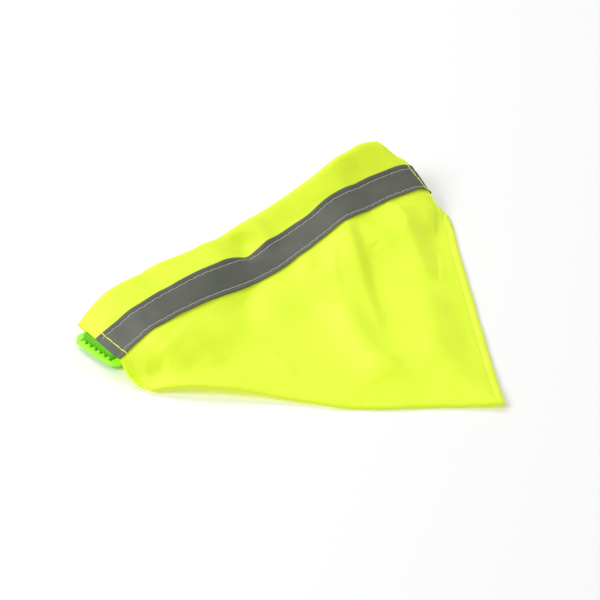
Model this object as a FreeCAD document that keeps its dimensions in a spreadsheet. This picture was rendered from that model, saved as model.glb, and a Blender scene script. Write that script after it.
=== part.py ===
"""A reflective pet bandana on a webbing collar with a side-release buckle, lying flat.

The cloth is one polyester panel, folded along +Y into a sleeve and sewn to a point at -Y.
The collar strap runs through the sleeve, turns back at the right mouth and returns under the cloth.
Frame: +X along the fold from the buckle's end, -Y towards the point, +Z up, millimetres.
The origin is at the middle of the bottom of the whole object.
"""

import FreeCAD, Part
import math
import os

import Sketcher

Vector = FreeCAD.Vector

# ---------------------------------------------------------------- driving dimensions

SIZES = [
    # the cloth, as it lies
    ("left_mouth_x", -70.0, "left end of the sleeve"),
    ("right_mouth_x", 72.4, "right end of the sleeve"),
    ("fold_y", 61.3, "outermost line of the fold"),
    ("left_mouth_low_y", 22.1, "lower end of the left mouth"),
    ("right_mouth_low_y", 23.5, "lower end of the right mouth"),
    ("tip_x", 4.0, "the point, along the fold"),
    ("tip_y", -61.3, "the point, across the fold"),
    ("side_bow", 4.6, "how far the left side bows outwards where it lies flat"),
    ("cloth_thick", 0.4, "one layer of woven polyester with its coating"),
    ("front_low_z", 1.1, "front layer where it lies flat, at mid thickness"),
    ("back_low_z", 0.2, "back layer where it lies flat, at mid thickness"),
    ("crest_y", 57.5, "line of the front layer's crest"),
    ("crest_left", 8.3, "height of the crest at the left mouth"),
    ("crest_buckle", 13.9, "height over the buckle"),
    ("crest_dip", 12.1, "height in the shallow fold at mid length"),
    ("crest_hump", 18.9, "greatest height, near the right mouth"),
    ("crest_right", 17.0, "height of the crest at the right mouth"),
    ("dip_x", -1.0, "the shallow fold across the sleeve"),
    ("hump_x", 61.0, "where the crest is highest"),
    # the reflective tape
    ("tape_wide", 12.5, "half-inch tape"),
    ("tape_thick", 0.2, "tape with its glass beads"),
    ("tape_edge_y", 37.4, "line of the tape's lower edge, along the fold"),
    ("tape_high_y", 48.8, "line near the tape's upper edge"),
    ("tape_low_y", 35.8, "line near the tape's lower edge"),
    ("tape_stitch_inset", 1.8, "stitch line inside each tape edge"),
    # the thread
    ("stitch_pitch", 3.7, "one stitch and its gap"),
    ("stitch_long", 2.9, "length of thread that shows"),
    ("stitch_wide", 0.35, "thread width"),
    ("mouth_hem", 3.2, "mouth edge to its stitch line"),
    ("side_hem", 3.3, "side edge to its stitch line"),
    # the webbing
    ("strap_wide", 15.0, "width of the webbing"),
    ("strap_thick", 0.8, "thickness of the webbing"),
    # the buckle, measured from the outer face of its toothed bar and from its underside
    ("buckle_x", -72.4, "outer face of the toothed bar"),
    ("buckle_y", 49.4, "middle of the buckle and of the strap"),
    ("buckle_z", 0.95, "underside, which lies on the strap's tail"),
    ("buckle_half", 11.0, "half the socket's width"),
    ("clip_half", 10.75, "half the ladder frame's width"),
    ("slot_half", 7.8, "half a webbing slot's width"),
    ("bar_long", 1.5, "toothed bar, along the strap"),
    ("outer_slot", 2.7, "slot between the toothed bar and the middle bar"),
    ("middle_bar", 2.0, "middle bar, along the strap"),
    ("ladder_long", 9.8, "ladder frame's length"),
    ("bar_bow", 0.5, "how far the toothed bar bows out"),
    ("corner_cut", 2.6, "cut corners of the toothed end"),
    ("edge_chamfer", 0.4, "chamfer around the toothed end"),
    ("ladder_low", 0.3, "ladder frame's underside"),
    ("ladder_high", 1.95, "ladder frame's top"),
    ("middle_bar_low", 0.5, "underside of the middle bar"),
    ("middle_bar_high", 1.7, "top of the middle bar"),
    ("shoulder_long", 3.8, "shoulder that meets the socket"),
    ("shoulder_high", 3.6, "shoulder's height"),
    ("socket_start", 14.0, "socket's mouth"),
    ("socket_long", 22.0, "socket's length"),
    ("socket_high", 5.4, "socket's height"),
    ("cavity_long", 15.5, "depth of the socket's cavity"),
    ("cavity_half", 8.9, "half the cavity's width"),
    ("cavity_low", 1.1, "cavity's floor"),
    ("cavity_high", 4.3, "cavity's ceiling"),
    ("window_start", 18.5, "side windows begin"),
    ("window_long", 8.0, "side windows' length"),
    ("anchor_slot_start", 31.5, "webbing slot of the socket begins"),
    ("anchor_slot", 2.2, "webbing slot of the socket"),
    ("anchor_bar_low", 1.0, "underside of the socket's webbing bar"),
    ("anchor_bar_high", 3.0, "top of the socket's webbing bar"),
    ("tooth_pitch", 2.4, "teeth along the toothed bar"),
    ("tooth_wide", 1.2, "one tooth's width"),
    ("tooth_deep", 0.8, "how far a tooth stands into the slot"),
    ("tooth_high", 1.3, "a tooth's height"),
    ("arm_inner", 7.0, "arm's inner face from the middle"),
    ("arm_thick", 1.5, "arm's thickness"),
    ("arm_low", 1.4, "arm's underside"),
    ("arm_high", 3.4, "arm's top"),
    ("arm_end", 28.6, "arm's tip"),
    ("pad_start", 19.0, "catch pad begins"),
    ("pad_end", 26.0, "catch pad ends"),
    ("pad_reach", 10.8, "catch pad's outer face from the middle"),
    ("tongue_half", 2.2, "half the guide tongue's width"),
    ("tongue_end", 27.0, "guide tongue's tip"),
    # the strap's route
    ("loop_join_x", -53.4, "where the clip's loop meets the run in the sleeve"),
    ("tail_end_x", -43.4, "end of the strap's tail, under the buckle"),
    ("bend_x", 67.8, "where the strap starts to turn back"),
    ("run_low_z", 0.4, "return run on the surface, at mid thickness"),
    ("run_high_z", 6.4, "run in the sleeve where it turns back"),
]

TEETH = 6
STATION_STEP = 6.5  # between the cloth's cross-sections
SURFACE_STEP = 0.25  # between points when a distance is measured along the cloth
TACK_ROWS = 7  # stitches across the strap in its sewn end

doc = FreeCAD.newDocument("pet_bandana_collar")
sheet = doc.addObject("Spreadsheet::Sheet", "Sizes")
sheet.set("A1", "name")
sheet.set("B1", "millimetres")
sheet.set("C1", "what it is")
for row, (alias, value, note) in enumerate(SIZES, start=2):
    sheet.set(f"A{row}", alias)
    sheet.set(f"B{row}", str(value))
    sheet.set(f"C{row}", note)
    sheet.setAlias(f"B{row}", alias)
doc.recompute()


def size(alias):
    return float(sheet.get(alias))


parts = {}


def add_shape(name, shape):
    """A sub-part whose shape is worked out here rather than by features."""
    feature = doc.addObject("Part::Feature", name)
    feature.Label = name
    feature.Shape = shape
    parts[name] = feature
    return feature


# ---------------------------------------------------------------- the cloth's form


def blend(knots, x):
    """A height between knots (x, height), with a level start and end at each knot."""
    if x <= knots[0][0]:
        return knots[0][1]
    for (x0, z0), (x1, z1) in zip(knots, knots[1:]):
        if x <= x1:
            share = (1 - math.cos(math.pi * (x - x0) / (x1 - x0))) / 2
            return z0 + (z1 - z0) * share
    return knots[-1][1]


SOCKET_LEFT = size("buckle_x") + size("socket_start")
SOCKET_RIGHT = SOCKET_LEFT + size("socket_long")
BUCKLE_MIDDLE_X = (SOCKET_LEFT + SOCKET_RIGHT) / 2

MIDDLE_BACK_Z = 2.1  # back layer over the return run
BACK_OVER_BUCKLE = size("buckle_z") + size("socket_high") + 0.3 + size("cloth_thick") / 2
BACK_AT_MOUTH = 4.9

CREST = [
    (size("left_mouth_x"), size("crest_left")),
    (BUCKLE_MIDDLE_X - 3, size("crest_buckle")),
    (size("dip_x") - 20, size("crest_buckle") - 0.3),
    (size("dip_x"), size("crest_dip")),
    (size("hump_x"), size("crest_hump")),
    (size("right_mouth_x"), size("crest_right")),
]
TAPE_HIGH_LINE = [
    (size("left_mouth_x"), size("crest_left") - 0.1),
    (BUCKLE_MIDDLE_X - 5, size("crest_buckle") - 1.5),
    (size("dip_x") - 22, size("crest_buckle") - 1.5),
    (size("dip_x") - 3, size("crest_dip") - 4.3),
    (size("dip_x") + 40, 12.6),
    (size("hump_x") - 4, 11.5),
    (size("right_mouth_x"), 12.2),
]
TAPE_LOW_LINE = [
    (size("left_mouth_x"), size("crest_left") - 0.3),
    (BUCKLE_MIDDLE_X - 7, size("crest_buckle") - 2.5),
    (size("dip_x") - 10, 5.2),
    (size("dip_x") + 28, 10.0),
    (size("right_mouth_x"), 7.0),
]
BACK = [
    (size("left_mouth_x"), BACK_AT_MOUTH),
    (SOCKET_LEFT, BACK_OVER_BUCKLE),
    (SOCKET_RIGHT + 4, BACK_OVER_BUCKLE),
    (SOCKET_RIGHT + 17, MIDDLE_BACK_Z),
]
LIFT_OFF = [(size("left_mouth_x"), 19.5), (size("dip_x"), 5.0), (size("right_mouth_x"), 21.0)]
FOLD_OUTER = [
    (size("left_mouth_x"), size("fold_y") - 2.6),
    (BUCKLE_MIDDLE_X, size("fold_y")),
    (size("hump_x"), size("fold_y")),
    (size("right_mouth_x"), size("fold_y") - 1.0),
]
SIDE_BOW = [(0.0, 0.0), (0.19, 0.35), (0.45, 1.0), (0.57, 0.6), (0.72, 0.0), (1.0, 0.0)]
BACK_LIFT_LOW_Y = 25.8
BACK_LIFT_HIGH_Y = 33.6
BACK_FOLD_Y = 55.5
TAPE_STEP = 2.75  # between the section's points under the tape
TAPE_STEPS = 4
BACK_LEFT_EDGE_X = SOCKET_LEFT + 9  # the back layer is drawn in this far where the strap comes up
BACK_RIGHT_EDGE_X = size("bend_x") - 4
STRAP_ROOM = 23.0


def edge_y(x):
    """The cloth's lower edge: two sides that meet at the point, the left one bowed."""
    tip_x = size("tip_x")
    tip_y = size("tip_y")
    if x < tip_x:
        share = (tip_x - x) / (tip_x - size("left_mouth_x"))
        return tip_y + (size("left_mouth_low_y") - tip_y) * share - size("side_bow") * blend(SIDE_BOW, share)
    share = (x - tip_x) / (size("right_mouth_x") - tip_x)
    return tip_y + (size("right_mouth_low_y") - tip_y) * share


def front_knots(x):
    """Heights of the front layer at one station: (y, z) from the flat part up to the crest."""
    low = size("front_low_z")
    lift = blend(LIFT_OFF, x)
    return [
        (size("tip_y") - 1, low),
        (lift, low),
        (size("tape_low_y"), blend(TAPE_LOW_LINE, x)),
        (size("tape_high_y"), blend(TAPE_HIGH_LINE, x)),
        (size("crest_y"), blend(CREST, x)),
    ]


def slopes_of(knots):
    """Slopes at the knots of a curve that never overshoots them."""
    steps = [(b[1] - a[1]) / (b[0] - a[0]) for a, b in zip(knots, knots[1:])]
    slopes = [steps[0]]
    for a, b in zip(steps, steps[1:]):
        slopes.append(0.0 if a * b <= 0 else 2 * a * b / (a + b))
    slopes.append(steps[-1])
    return slopes


def front_z(x, y):
    """Height of the front layer's middle surface, from the edge up to the crest."""
    knots = front_knots(x)
    slopes = slopes_of(knots)
    n = max(k for k in range(len(knots) - 1) if k == 0 or knots[k][0] <= y)
    (y0, z0), (y1, z1) = knots[n], knots[n + 1]
    span = y1 - y0
    far = (y - y0) / span
    rest = 1 - far
    return (
        z0 * (1 + 2 * far) * rest**2
        + slopes[n] * span * far * rest**2
        + z1 * far**2 * (3 - 2 * far)
        - slopes[n + 1] * span * far**2 * rest
    )


def back_z(x, y):
    """Height of the back layer's middle surface."""
    step = [(BACK_LIFT_LOW_Y, size("back_low_z")), (BACK_LIFT_HIGH_Y, blend(BACK, x))]
    return blend(step, y)


def fold_curve(x, share):
    """A point of the fold, a cubic curve from the crest round to the back layer."""
    top = blend(CREST, x)
    slope = slopes_of(front_knots(x))[-1]
    bottom = blend(BACK, x)
    outer = blend(FOLD_OUTER, x) - size("cloth_thick") / 2
    crest_y = min(size("crest_y"), outer - 2.0)
    reach = (8 * outer - crest_y - BACK_FOLD_Y) / 6
    corners = [
        (crest_y, top),
        (reach, top + slope * (reach - crest_y)),
        (reach, bottom),
        (BACK_FOLD_Y, bottom),
    ]
    weights = [(1 - share) ** 3, 3 * share * (1 - share) ** 2, 3 * share**2 * (1 - share), share**3]
    y = sum(w * c[0] for w, c in zip(weights, corners))
    z = sum(w * c[1] for w, c in zip(weights, corners))
    return y, z


def section(x):
    """The cloth's middle line at one station, from the front edge over the fold to the back edge."""
    low = edge_y(x)
    tape_y = size("tape_edge_y")
    count = 14
    places = [low + (tape_y - low) * n / count for n in range(count)]
    places += [tape_y + TAPE_STEP * n for n in range(TAPE_STEPS + 3)]
    points = [(y, front_z(x, y)) for y in places]
    turns = 12
    points += [fold_curve(x, n / turns) for n in range(turns + 1)]
    bends = [BACK_FOLD_Y, BACK_LIFT_HIGH_Y, BACK_LIFT_LOW_Y, low]
    steps = 7
    for start, end in zip(bends, bends[1:]):
        for n in range(1, steps + 1):
            y = start + (end - start) * n / steps
            points.append((y, back_z(x, y)))
    return points


def offset_line(points, away):
    """The same line moved to its left by a distance, mitred at each point."""
    moved = []
    for n, (y, z) in enumerate(points):
        before = points[max(n - 1, 0)]
        after = points[min(n + 1, len(points) - 1)]
        dy = after[0] - before[0]
        dz = after[1] - before[1]
        length = math.hypot(dy, dz)
        moved.append((y - dz / length * away, z + dy / length * away))
    return moved


def closed_section(x, line, low, high):
    """A closed wire in the plane of one station, between two offsets of a line."""
    outer = [Vector(x, y, z) for y, z in offset_line(line, high)]
    inner = [Vector(x, y, z) for y, z in offset_line(line, low)]
    corners = outer + inner[::-1]
    return Part.makePolygon(corners + [corners[0]])


def stations(left, right, fixed=()):
    """Even stations between two ends that also stop at the fixed ones."""
    stops = [left] + [x for x in sorted(fixed) if left < x < right] + [right]
    places = [left]
    for start, end in zip(stops, stops[1:]):
        count = max(1, round((end - start) / STATION_STEP))
        places += [start + (end - start) * n / count for n in range(1, count + 1)]
    return places


def bandana_cloth():
    """One folded panel, with its back layer drawn in where the strap passes each mouth."""
    half = size("cloth_thick") / 2
    wires = []
    for x in stations(size("left_mouth_x"), size("right_mouth_x"), [size("tip_x")]):
        wires.append(closed_section(x, section(x), -half, half))
    cloth = Part.makeLoft(wires, True, True)
    low_y = BACK_LIFT_HIGH_Y - 1
    wide = size("fold_y") + 1 - low_y
    left_start = size("left_mouth_x") - 1
    left_long = BACK_LEFT_EDGE_X - left_start
    left_cut = Part.makeBox(left_long, wide, 7.2, Vector(left_start, low_y, 0))
    right_long = size("right_mouth_x") + 1 - BACK_RIGHT_EDGE_X
    right_cut = Part.makeBox(right_long, STRAP_ROOM, 4.0, Vector(BACK_RIGHT_EDGE_X, low_y + 2, 0))
    return cloth.cut(left_cut).cut(right_cut)


add_shape("bandana_cloth", bandana_cloth())


# ---------------------------------------------------------------- what is sewn to the cloth


def fine_line(x):
    """The cloth's line at one station, with its distance along the cloth from the tape's upper edge."""
    points = section(x)
    fine = []
    for (y0, z0), (y1, z1) in zip(points, points[1:]):
        count = max(1, math.ceil(math.hypot(y1 - y0, z1 - z0) / SURFACE_STEP))
        fine += [(y0 + (y1 - y0) * n / count, z0 + (z1 - z0) * n / count) for n in range(count)]
    fine.append(points[-1])
    start = min(n for n, (y, _) in enumerate(fine) if y >= size("tape_edge_y") - 0.001)
    along = [0.0]
    for (y0, z0), (y1, z1) in zip(fine, fine[1:]):
        along.append(along[-1] + math.hypot(y1 - y0, z1 - z0))
    zero = along[start] + size("tape_wide")
    return [(zero - far, y, z) for far, (y, z) in zip(along, fine)]


def on_cloth(x, drop):
    """A point of the cloth at a station and a distance below the tape's upper edge, and its normal."""
    line = fine_line(x)
    near = min(range(1, len(line) - 1), key=lambda n: abs(line[n][0] - drop))
    _, y, z = line[near]
    dy = line[near + 1][1] - line[near - 1][1]
    dz = line[near + 1][2] - line[near - 1][2]
    length = math.hypot(dy, dz)
    return Vector(x, y, z), Vector(0, -dz / length, dy / length)


TAPE_GAP = 0.05
TAPE_LOW = size("cloth_thick") / 2 + TAPE_GAP
TAPE_HIGH = TAPE_LOW + size("tape_thick")


def reflective_tape():
    """The tape follows the front layer from mouth to mouth."""
    wires = []
    for x in stations(size("left_mouth_x"), size("right_mouth_x"), [size("tip_x")]):
        places = [size("tape_edge_y") + TAPE_STEP * n for n in range(TAPE_STEPS + 1)]
        line = [(y, front_z(x, y)) for y in places]
        top, _ = on_cloth(x, 0)
        line.append((top.y, top.z))
        wires.append(closed_section(x, line, TAPE_LOW, TAPE_HIGH))
    return Part.makeLoft(wires, True, True)


def stitch(middle, along, normal, thick=None):
    """One visible length of thread: a flat bar that lies along the seam."""
    wide = size("stitch_wide")
    high = thick or wide
    along = along.normalize()
    across = normal.cross(along).normalize()
    up = along.cross(across)
    bar = Part.makeBox(size("stitch_long"), wide, high, Vector(-size("stitch_long") / 2, -wide / 2, -high / 2))
    turn = FreeCAD.Matrix(
        along.x, across.x, up.x, middle.x,
        along.y, across.y, up.y, middle.y,
        along.z, across.z, up.z, middle.z,
        0, 0, 0, 1,
    )
    bar.Placement = FreeCAD.Placement(turn)
    return bar


def seam(points, normals):
    """A row of stitches along a line on the cloth, one for each pitch."""
    along = [0.0]
    for a, b in zip(points, points[1:]):
        along.append(along[-1] + a.distanceToPoint(b))
    pitch = size("stitch_pitch")
    count = int((along[-1] - 0.5) / pitch)
    start = (along[-1] - count * pitch) / 2
    bars = []
    for n in range(count):
        ends = []
        for far in (start + n * pitch, start + n * pitch + size("stitch_long")):
            k = max(m for m in range(len(along) - 1) if along[m] <= far)
            share = (far - along[k]) / (along[k + 1] - along[k])
            ends.append((points[k] + (points[k + 1] - points[k]) * share, normals[k]))
        (a, normal_a), (b, normal_b) = ends
        bars.append(stitch((a + b) * 0.5, b - a, normal_a + normal_b))
    return Part.makeCompound(bars)


def raised(x, drop, away):
    place, normal = on_cloth(x, drop)
    return place + normal * away, normal


def tape_seam(inset):
    """A stitch line along the tape, a distance below its upper edge."""
    line = [
        raised(x, inset, TAPE_HIGH + 0.02)
        for x in stations(size("left_mouth_x") + 1, size("right_mouth_x") - 1)
    ]
    return seam([p for p, _ in line], [v for _, v in line])


def mouth_seam(x, past_tape):
    """The hem line of one mouth, across the front layer and over the tape."""
    line = fine_line(x)
    lowest = line[0][0] - 1.5
    drop = -FOLD_TO_TAPE
    points, normals = [], []
    while drop < lowest:
        over_tape = -1 < drop < size("tape_wide") + 1
        away = past_tape if over_tape else size("cloth_thick") / 2 + 0.1
        place, normal = raised(x, drop, away)
        points.append(place)
        normals.append(normal)
        drop += 1.0
    return seam(points, normals)


def side_seam(low_x, high_x):
    """The line that joins both layers along one straight side."""
    points, normals = [], []
    slope = (edge_y(high_x) - edge_y(low_x)) / (high_x - low_x)
    inset = size("side_hem") * math.hypot(1, slope)
    for x in stations(low_x, high_x):
        y = edge_y(x) + inset
        points.append(Vector(x, y, front_z(x, y) + size("cloth_thick") / 2 + 0.1))
        normals.append(Vector(0, 0, 1))
    return seam(points, normals)


def thread_end():
    """A loose end of the hem's thread, pointing outwards near the lower end of the left mouth."""
    start = Vector(size("left_mouth_x") - 0.3, size("left_mouth_low_y") + 4.4, 2.0)
    bow = start + Vector(-1.4, 0.5, -0.6)
    end = start + Vector(-3.0, 0.6, -1.6)
    arc = Part.Arc(start, bow, end)
    ring = Part.makeCircle(size("stitch_wide") / 2, start, arc.tangent(arc.FirstParameter)[0])
    return Part.Wire(arc.toShape()).makePipe(Part.Face(Part.Wire(ring)))


LEFT_STITCH_X = size("left_mouth_x") + size("mouth_hem")
RIGHT_STITCH_X = size("right_mouth_x") - size("mouth_hem")
FOLD_TO_TAPE = 12.0  # along the cloth
TIP_CLEAR = 3.4  # where the two side seams meet at the point

add_shape("reflective_tape", reflective_tape())
add_shape("tape_upper_stitching", tape_seam(size("tape_stitch_inset")))
add_shape("tape_lower_stitching", tape_seam(size("tape_wide") - size("tape_stitch_inset")))
add_shape("left_mouth_stitching", mouth_seam(LEFT_STITCH_X, TAPE_HIGH + 0.1))
add_shape("right_mouth_stitching", mouth_seam(RIGHT_STITCH_X, TAPE_HIGH + 0.1))
add_shape("left_side_stitching", side_seam(size("left_mouth_x") + 2, size("tip_x") - TIP_CLEAR))
add_shape("right_side_stitching", side_seam(size("tip_x") + TIP_CLEAR, size("right_mouth_x") - 2))
add_shape("loose_thread_end", thread_end())


# ---------------------------------------------------------------- the strap


def thick_route(corners, thick):
    """A closed wire around a route of straight runs and tangent arcs in the XZ plane.

    Each corner is (x, z, radius of the middle line there); the ends have no radius.
    """
    sides = {1: [], -1: []}
    for side in sides:
        away = side * thick / 2
        last = None
        for n, (x, z, radius) in enumerate(corners):
            here = Vector(x, 0, z)
            if n == 0 or n == len(corners) - 1:
                other = corners[1] if n == 0 else corners[-2]
                way = Vector(other[0], 0, other[1]) - here
                way = way if n == 0 else -way
                way.normalize()
                point = here + Vector(-way.z, 0, way.x) * away
                if last is not None:
                    sides[side].append(Part.LineSegment(last, point).toShape())
                last = point
                if n == 0:
                    start = point
                continue
            before = here - Vector(corners[n - 1][0], 0, corners[n - 1][1])
            after = Vector(corners[n + 1][0], 0, corners[n + 1][1]) - here
            before.normalize()
            after.normalize()
            turn = math.atan2(before.z * after.x - before.x * after.z, before.dot(after))
            reach = radius * math.tan(abs(turn) / 2)
            hand = -1 if turn > 0 else 1
            centre = here - before * reach + Vector(-before.z, 0, before.x) * radius * hand
            real = radius - hand * away
            first = centre - Vector(-before.z, 0, before.x) * real * hand
            final = centre - Vector(-after.z, 0, after.x) * real * hand
            middle = (here - centre).normalize() * real + centre
            sides[side].append(Part.LineSegment(last, first).toShape())
            sides[side].append(Part.Arc(first, middle, final).toShape())
            last = final
        sides[side].append((start, last))
    start_a, end_a = sides[1].pop()
    start_b, end_b = sides[-1].pop()
    caps = [Part.LineSegment(start_a, start_b).toShape(), Part.LineSegment(end_a, end_b).toShape()]
    return Part.Wire(Part.__sortEdges__(sides[1] + sides[-1] + caps))


def strap_piece(corners):
    """Webbing along a route: its outline in the XZ plane, as wide as the strap."""
    outline = thick_route(corners, size("strap_thick"))
    low_y = size("buckle_y") - size("strap_wide") / 2
    outline.translate(Vector(0, low_y, 0))
    return Part.Face(outline).extrude(Vector(0, size("strap_wide"), 0))


def under_front(x, gap=1.3):
    """A height for the strap's middle line that clears the front layer at the strap's lower edge."""
    low_y = size("buckle_y") - size("strap_wide") / 2
    return front_z(x, low_y) - size("cloth_thick") / 2 - size("strap_thick") / 2 - gap


HALF_STRAP = size("strap_thick") / 2
OUTER_SLOT_X = size("buckle_x") + size("bar_long") + size("outer_slot") / 2
OVER_SHOULDER_Z = size("buckle_z") + size("shoulder_high") + 0.15 + HALF_STRAP
OVER_SOCKET_Z = size("buckle_z") + size("socket_high") + 0.2 + HALF_STRAP
OVER_BACK_Z = BACK_OVER_BUCKLE + size("cloth_thick") / 2 + 0.35 + HALF_STRAP

clip_loop_route = [
    (size("loop_join_x"), OVER_SOCKET_Z, None),
    (SOCKET_LEFT - 0.8, OVER_SOCKET_Z, 1.5),
    (SOCKET_LEFT - 2.8, OVER_SHOULDER_Z, 1.5),
    (OUTER_SLOT_X, OVER_SHOULDER_Z, 0.9),
    (OUTER_SLOT_X, size("run_low_z"), 0.9),
    (size("tail_end_x"), size("run_low_z"), None),
]

sleeve_route = [
    (size("loop_join_x"), OVER_SOCKET_Z, None),
    (size("loop_join_x") + 2.0, OVER_SOCKET_Z, 3.0),
    (BACK_LEFT_EDGE_X - 0.5, OVER_BACK_Z, 3.0),
    (SOCKET_RIGHT + 4.0, OVER_BACK_Z, 20.0),
    (size("dip_x") - 12.0, 3.9, 30.0),
    (size("dip_x") + 6.0, 4.4, 30.0),
    (size("dip_x") + 32.0, under_front(28), 30.0),
    (size("bend_x") - 14.0, size("run_high_z"), 20.0),
    (size("bend_x") - 1.0, size("run_high_z"), None),
]

ANCHOR_SLOT_X = size("buckle_x") + size("anchor_slot_start") + size("anchor_slot") / 2
OVER_ANCHOR_Z = size("buckle_z") + size("anchor_bar_high") + 0.3 + HALF_STRAP
BEND_RADIUS = (size("run_high_z") - size("run_low_z")) / 2
FOLDED_BACK_Z = size("run_low_z") + size("strap_thick") + 0.1
return_route = [
    (size("bend_x") - 1.0, size("run_high_z"), None),
    (size("bend_x") + BEND_RADIUS, size("run_high_z"), BEND_RADIUS - 0.01),
    (size("bend_x") + BEND_RADIUS, size("run_low_z"), BEND_RADIUS - 0.01),
    (ANCHOR_SLOT_X, size("run_low_z"), 0.8),
    (ANCHOR_SLOT_X, OVER_ANCHOR_Z, 0.8),
    (SOCKET_RIGHT + 0.9, OVER_ANCHOR_Z, 1.0),
    (SOCKET_RIGHT + 3.0, FOLDED_BACK_Z, 1.0),
    (SOCKET_RIGHT + 16.0, FOLDED_BACK_Z, None),
]


def strap_tack():
    """The box of stitches that closes the strap's loop round the socket's bar."""
    bars = []
    wide = size("stitch_wide")
    high = FOLDED_BACK_Z + size("strap_thick") / 2 + 0.05 - size("run_low_z")
    low_y = size("buckle_y") - size("strap_wide") / 2 + 1.5
    step = (size("strap_wide") - 3.0) / (TACK_ROWS - 1)
    for start_x in (SOCKET_RIGHT + 5.0, SOCKET_RIGHT + 11.0):
        for n in range(TACK_ROWS):
            corner = Vector(start_x, low_y + n * step - wide / 2, size("run_low_z"))
            bars.append(Part.makeBox(size("stitch_long"), wide, high, corner))
    return Part.makeCompound(bars)


add_shape("strap_clip_loop", strap_piece(clip_loop_route))
add_shape("strap_sleeve_run", strap_piece(sleeve_route))
add_shape("strap_return_run", strap_piece(return_route))
add_shape("strap_end_stitching", strap_tack())


# ---------------------------------------------------------------- the buckle

FREE = 1.0  # how far a cut runs past the face that it opens


def body_at_buckle(name):
    """A body whose own origin is at the outer end of the toothed bar, on the strap's middle line."""
    body = doc.addObject("PartDesign::Body", name)
    body.Label = name
    body.setExpression("Placement.Base.x", "Sizes.buckle_x")
    body.setExpression("Placement.Base.y", "Sizes.buckle_y")
    body.setExpression("Placement.Base.z", "Sizes.buckle_z")
    parts[name] = body
    return body


def base_plane(body):
    return next(f for f in body.Origin.OriginFeatures if f.Role == "XY_Plane")


def rectangle(sketch, name, limits):
    """A rectangle in a sketch, its four sides bound to expressions: left, right, low, high."""
    left, right, low, high = limits
    guess = [Vector(1, 1, 0), Vector(2, 1, 0), Vector(2, 2, 0), Vector(1, 2, 0)]
    first = sketch.GeometryCount
    for n in range(4):
        sketch.addGeometry(Part.LineSegment(guess[n], guess[(n + 1) % 4]), False)
    for n in range(4):
        sketch.addConstraint(Sketcher.Constraint("Coincident", first + n, 2, first + (n + 1) % 4, 1))
    for n in (0, 2):
        sketch.addConstraint(Sketcher.Constraint("Horizontal", first + n))
        sketch.addConstraint(Sketcher.Constraint("Vertical", first + n + 1))
    for kind, side, corner, expression in (
        ("DistanceX", "left", 0, left),
        ("DistanceX", "right", 2, right),
        ("DistanceY", "low", 0, low),
        ("DistanceY", "high", 2, high),
    ):
        index = sketch.addConstraint(Sketcher.Constraint(kind, -1, 1, first + corner, 1, 1.0))
        sketch.renameConstraint(index, f"{name}_{side}")
        sketch.setExpression(f"Constraints.{name}_{side}", expression)


def outline(sketch, name, corners):
    """A closed outline in a sketch, each corner bound to its own two expressions."""
    count = len(corners)
    ring = [Vector(math.cos(2 * math.pi * n / count), math.sin(2 * math.pi * n / count), 0) for n in range(count)]
    first = sketch.GeometryCount
    for n in range(count):
        sketch.addGeometry(Part.LineSegment(ring[n], ring[(n + 1) % count]), False)
    for n in range(count):
        sketch.addConstraint(Sketcher.Constraint("Coincident", first + n, 2, first + (n + 1) % count, 1))
    for n, place in enumerate(corners):
        for kind, axis, expression in zip(("DistanceX", "DistanceY"), "xy", place):
            index = sketch.addConstraint(Sketcher.Constraint(kind, -1, 1, first + n, 1, 1.0))
            sketch.renameConstraint(index, f"{name}_{n}{axis}")
            sketch.setExpression(f"Constraints.{name}_{n}{axis}", expression)


def feature(body, kind, name, shapes, bottom, top):
    """A pad or a pocket over rectangles or outlines, between two heights given as expressions."""
    sketch = body.newObject("Sketcher::SketchObject", f"{name}_sketch")
    sketch.AttachmentSupport = [(base_plane(body), "")]
    sketch.MapMode = "FlatFace"
    sketch.setExpression("AttachmentOffset.Base.z", bottom)
    for number, limits in enumerate(shapes):
        draw = outline if isinstance(limits, list) else rectangle
        draw(sketch, f"{name}{number}", limits)
    doc.recompute()
    made = body.newObject(f"PartDesign::{kind}", name)
    made.Profile = sketch
    made.setExpression("Length", f"({top}) - ({bottom})")
    if kind == "Pocket":
        made.Reversed = True
    doc.recompute()
    return made


def both_sides(left, right, inner, outer):
    """The same rectangle on each side of the middle line."""
    return [(left, right, inner, outer), (left, right, f"-({outer})", f"-({inner})")]


def middle(left, right, half):
    return (left, right, f"-({half})", half)


def rounded(body, name, edges, radius):
    before = body.Tip
    made = body.newObject("PartDesign::Fillet", name)
    made.Base = (before, edges)
    made.Radius = radius
    doc.recompute()
    return made


def chamfered(body, name, edges, amount):
    before = body.Tip
    made = body.newObject("PartDesign::Chamfer", name)
    made.Base = (before, edges)
    made.setExpression("Size", amount)
    doc.recompute()
    return made


def rim_edges(shape, low, high, end):
    """The level edges of a prism's two rims, apart from those on its end face."""
    names = []
    for number, edge in enumerate(shape.Edges, start=1):
        a, b = edge.Vertexes[0].Point, edge.Vertexes[-1].Point
        on_rim = abs(a.z - b.z) < 1e-6 and (abs(a.z - low) < 1e-6 or abs(a.z - high) < 1e-6)
        if on_rim and min(a.x, b.x) < end - 1e-6:
            names.append(f"Edge{number}")
    return names


def corner_edges(shape, x, half):
    """The upright edges at one end of a body, at its full width."""
    names = []
    for number, edge in enumerate(shape.Edges, start=1):
        a, b = edge.Vertexes[0].Point, edge.Vertexes[-1].Point
        upright = abs(a.x - b.x) + abs(a.y - b.y) < 1e-6
        if upright and abs(a.x - x) < 1e-6 and abs(abs(a.y) - half) < 1e-6:
            names.append(f"Edge{number}")
    return names


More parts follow.
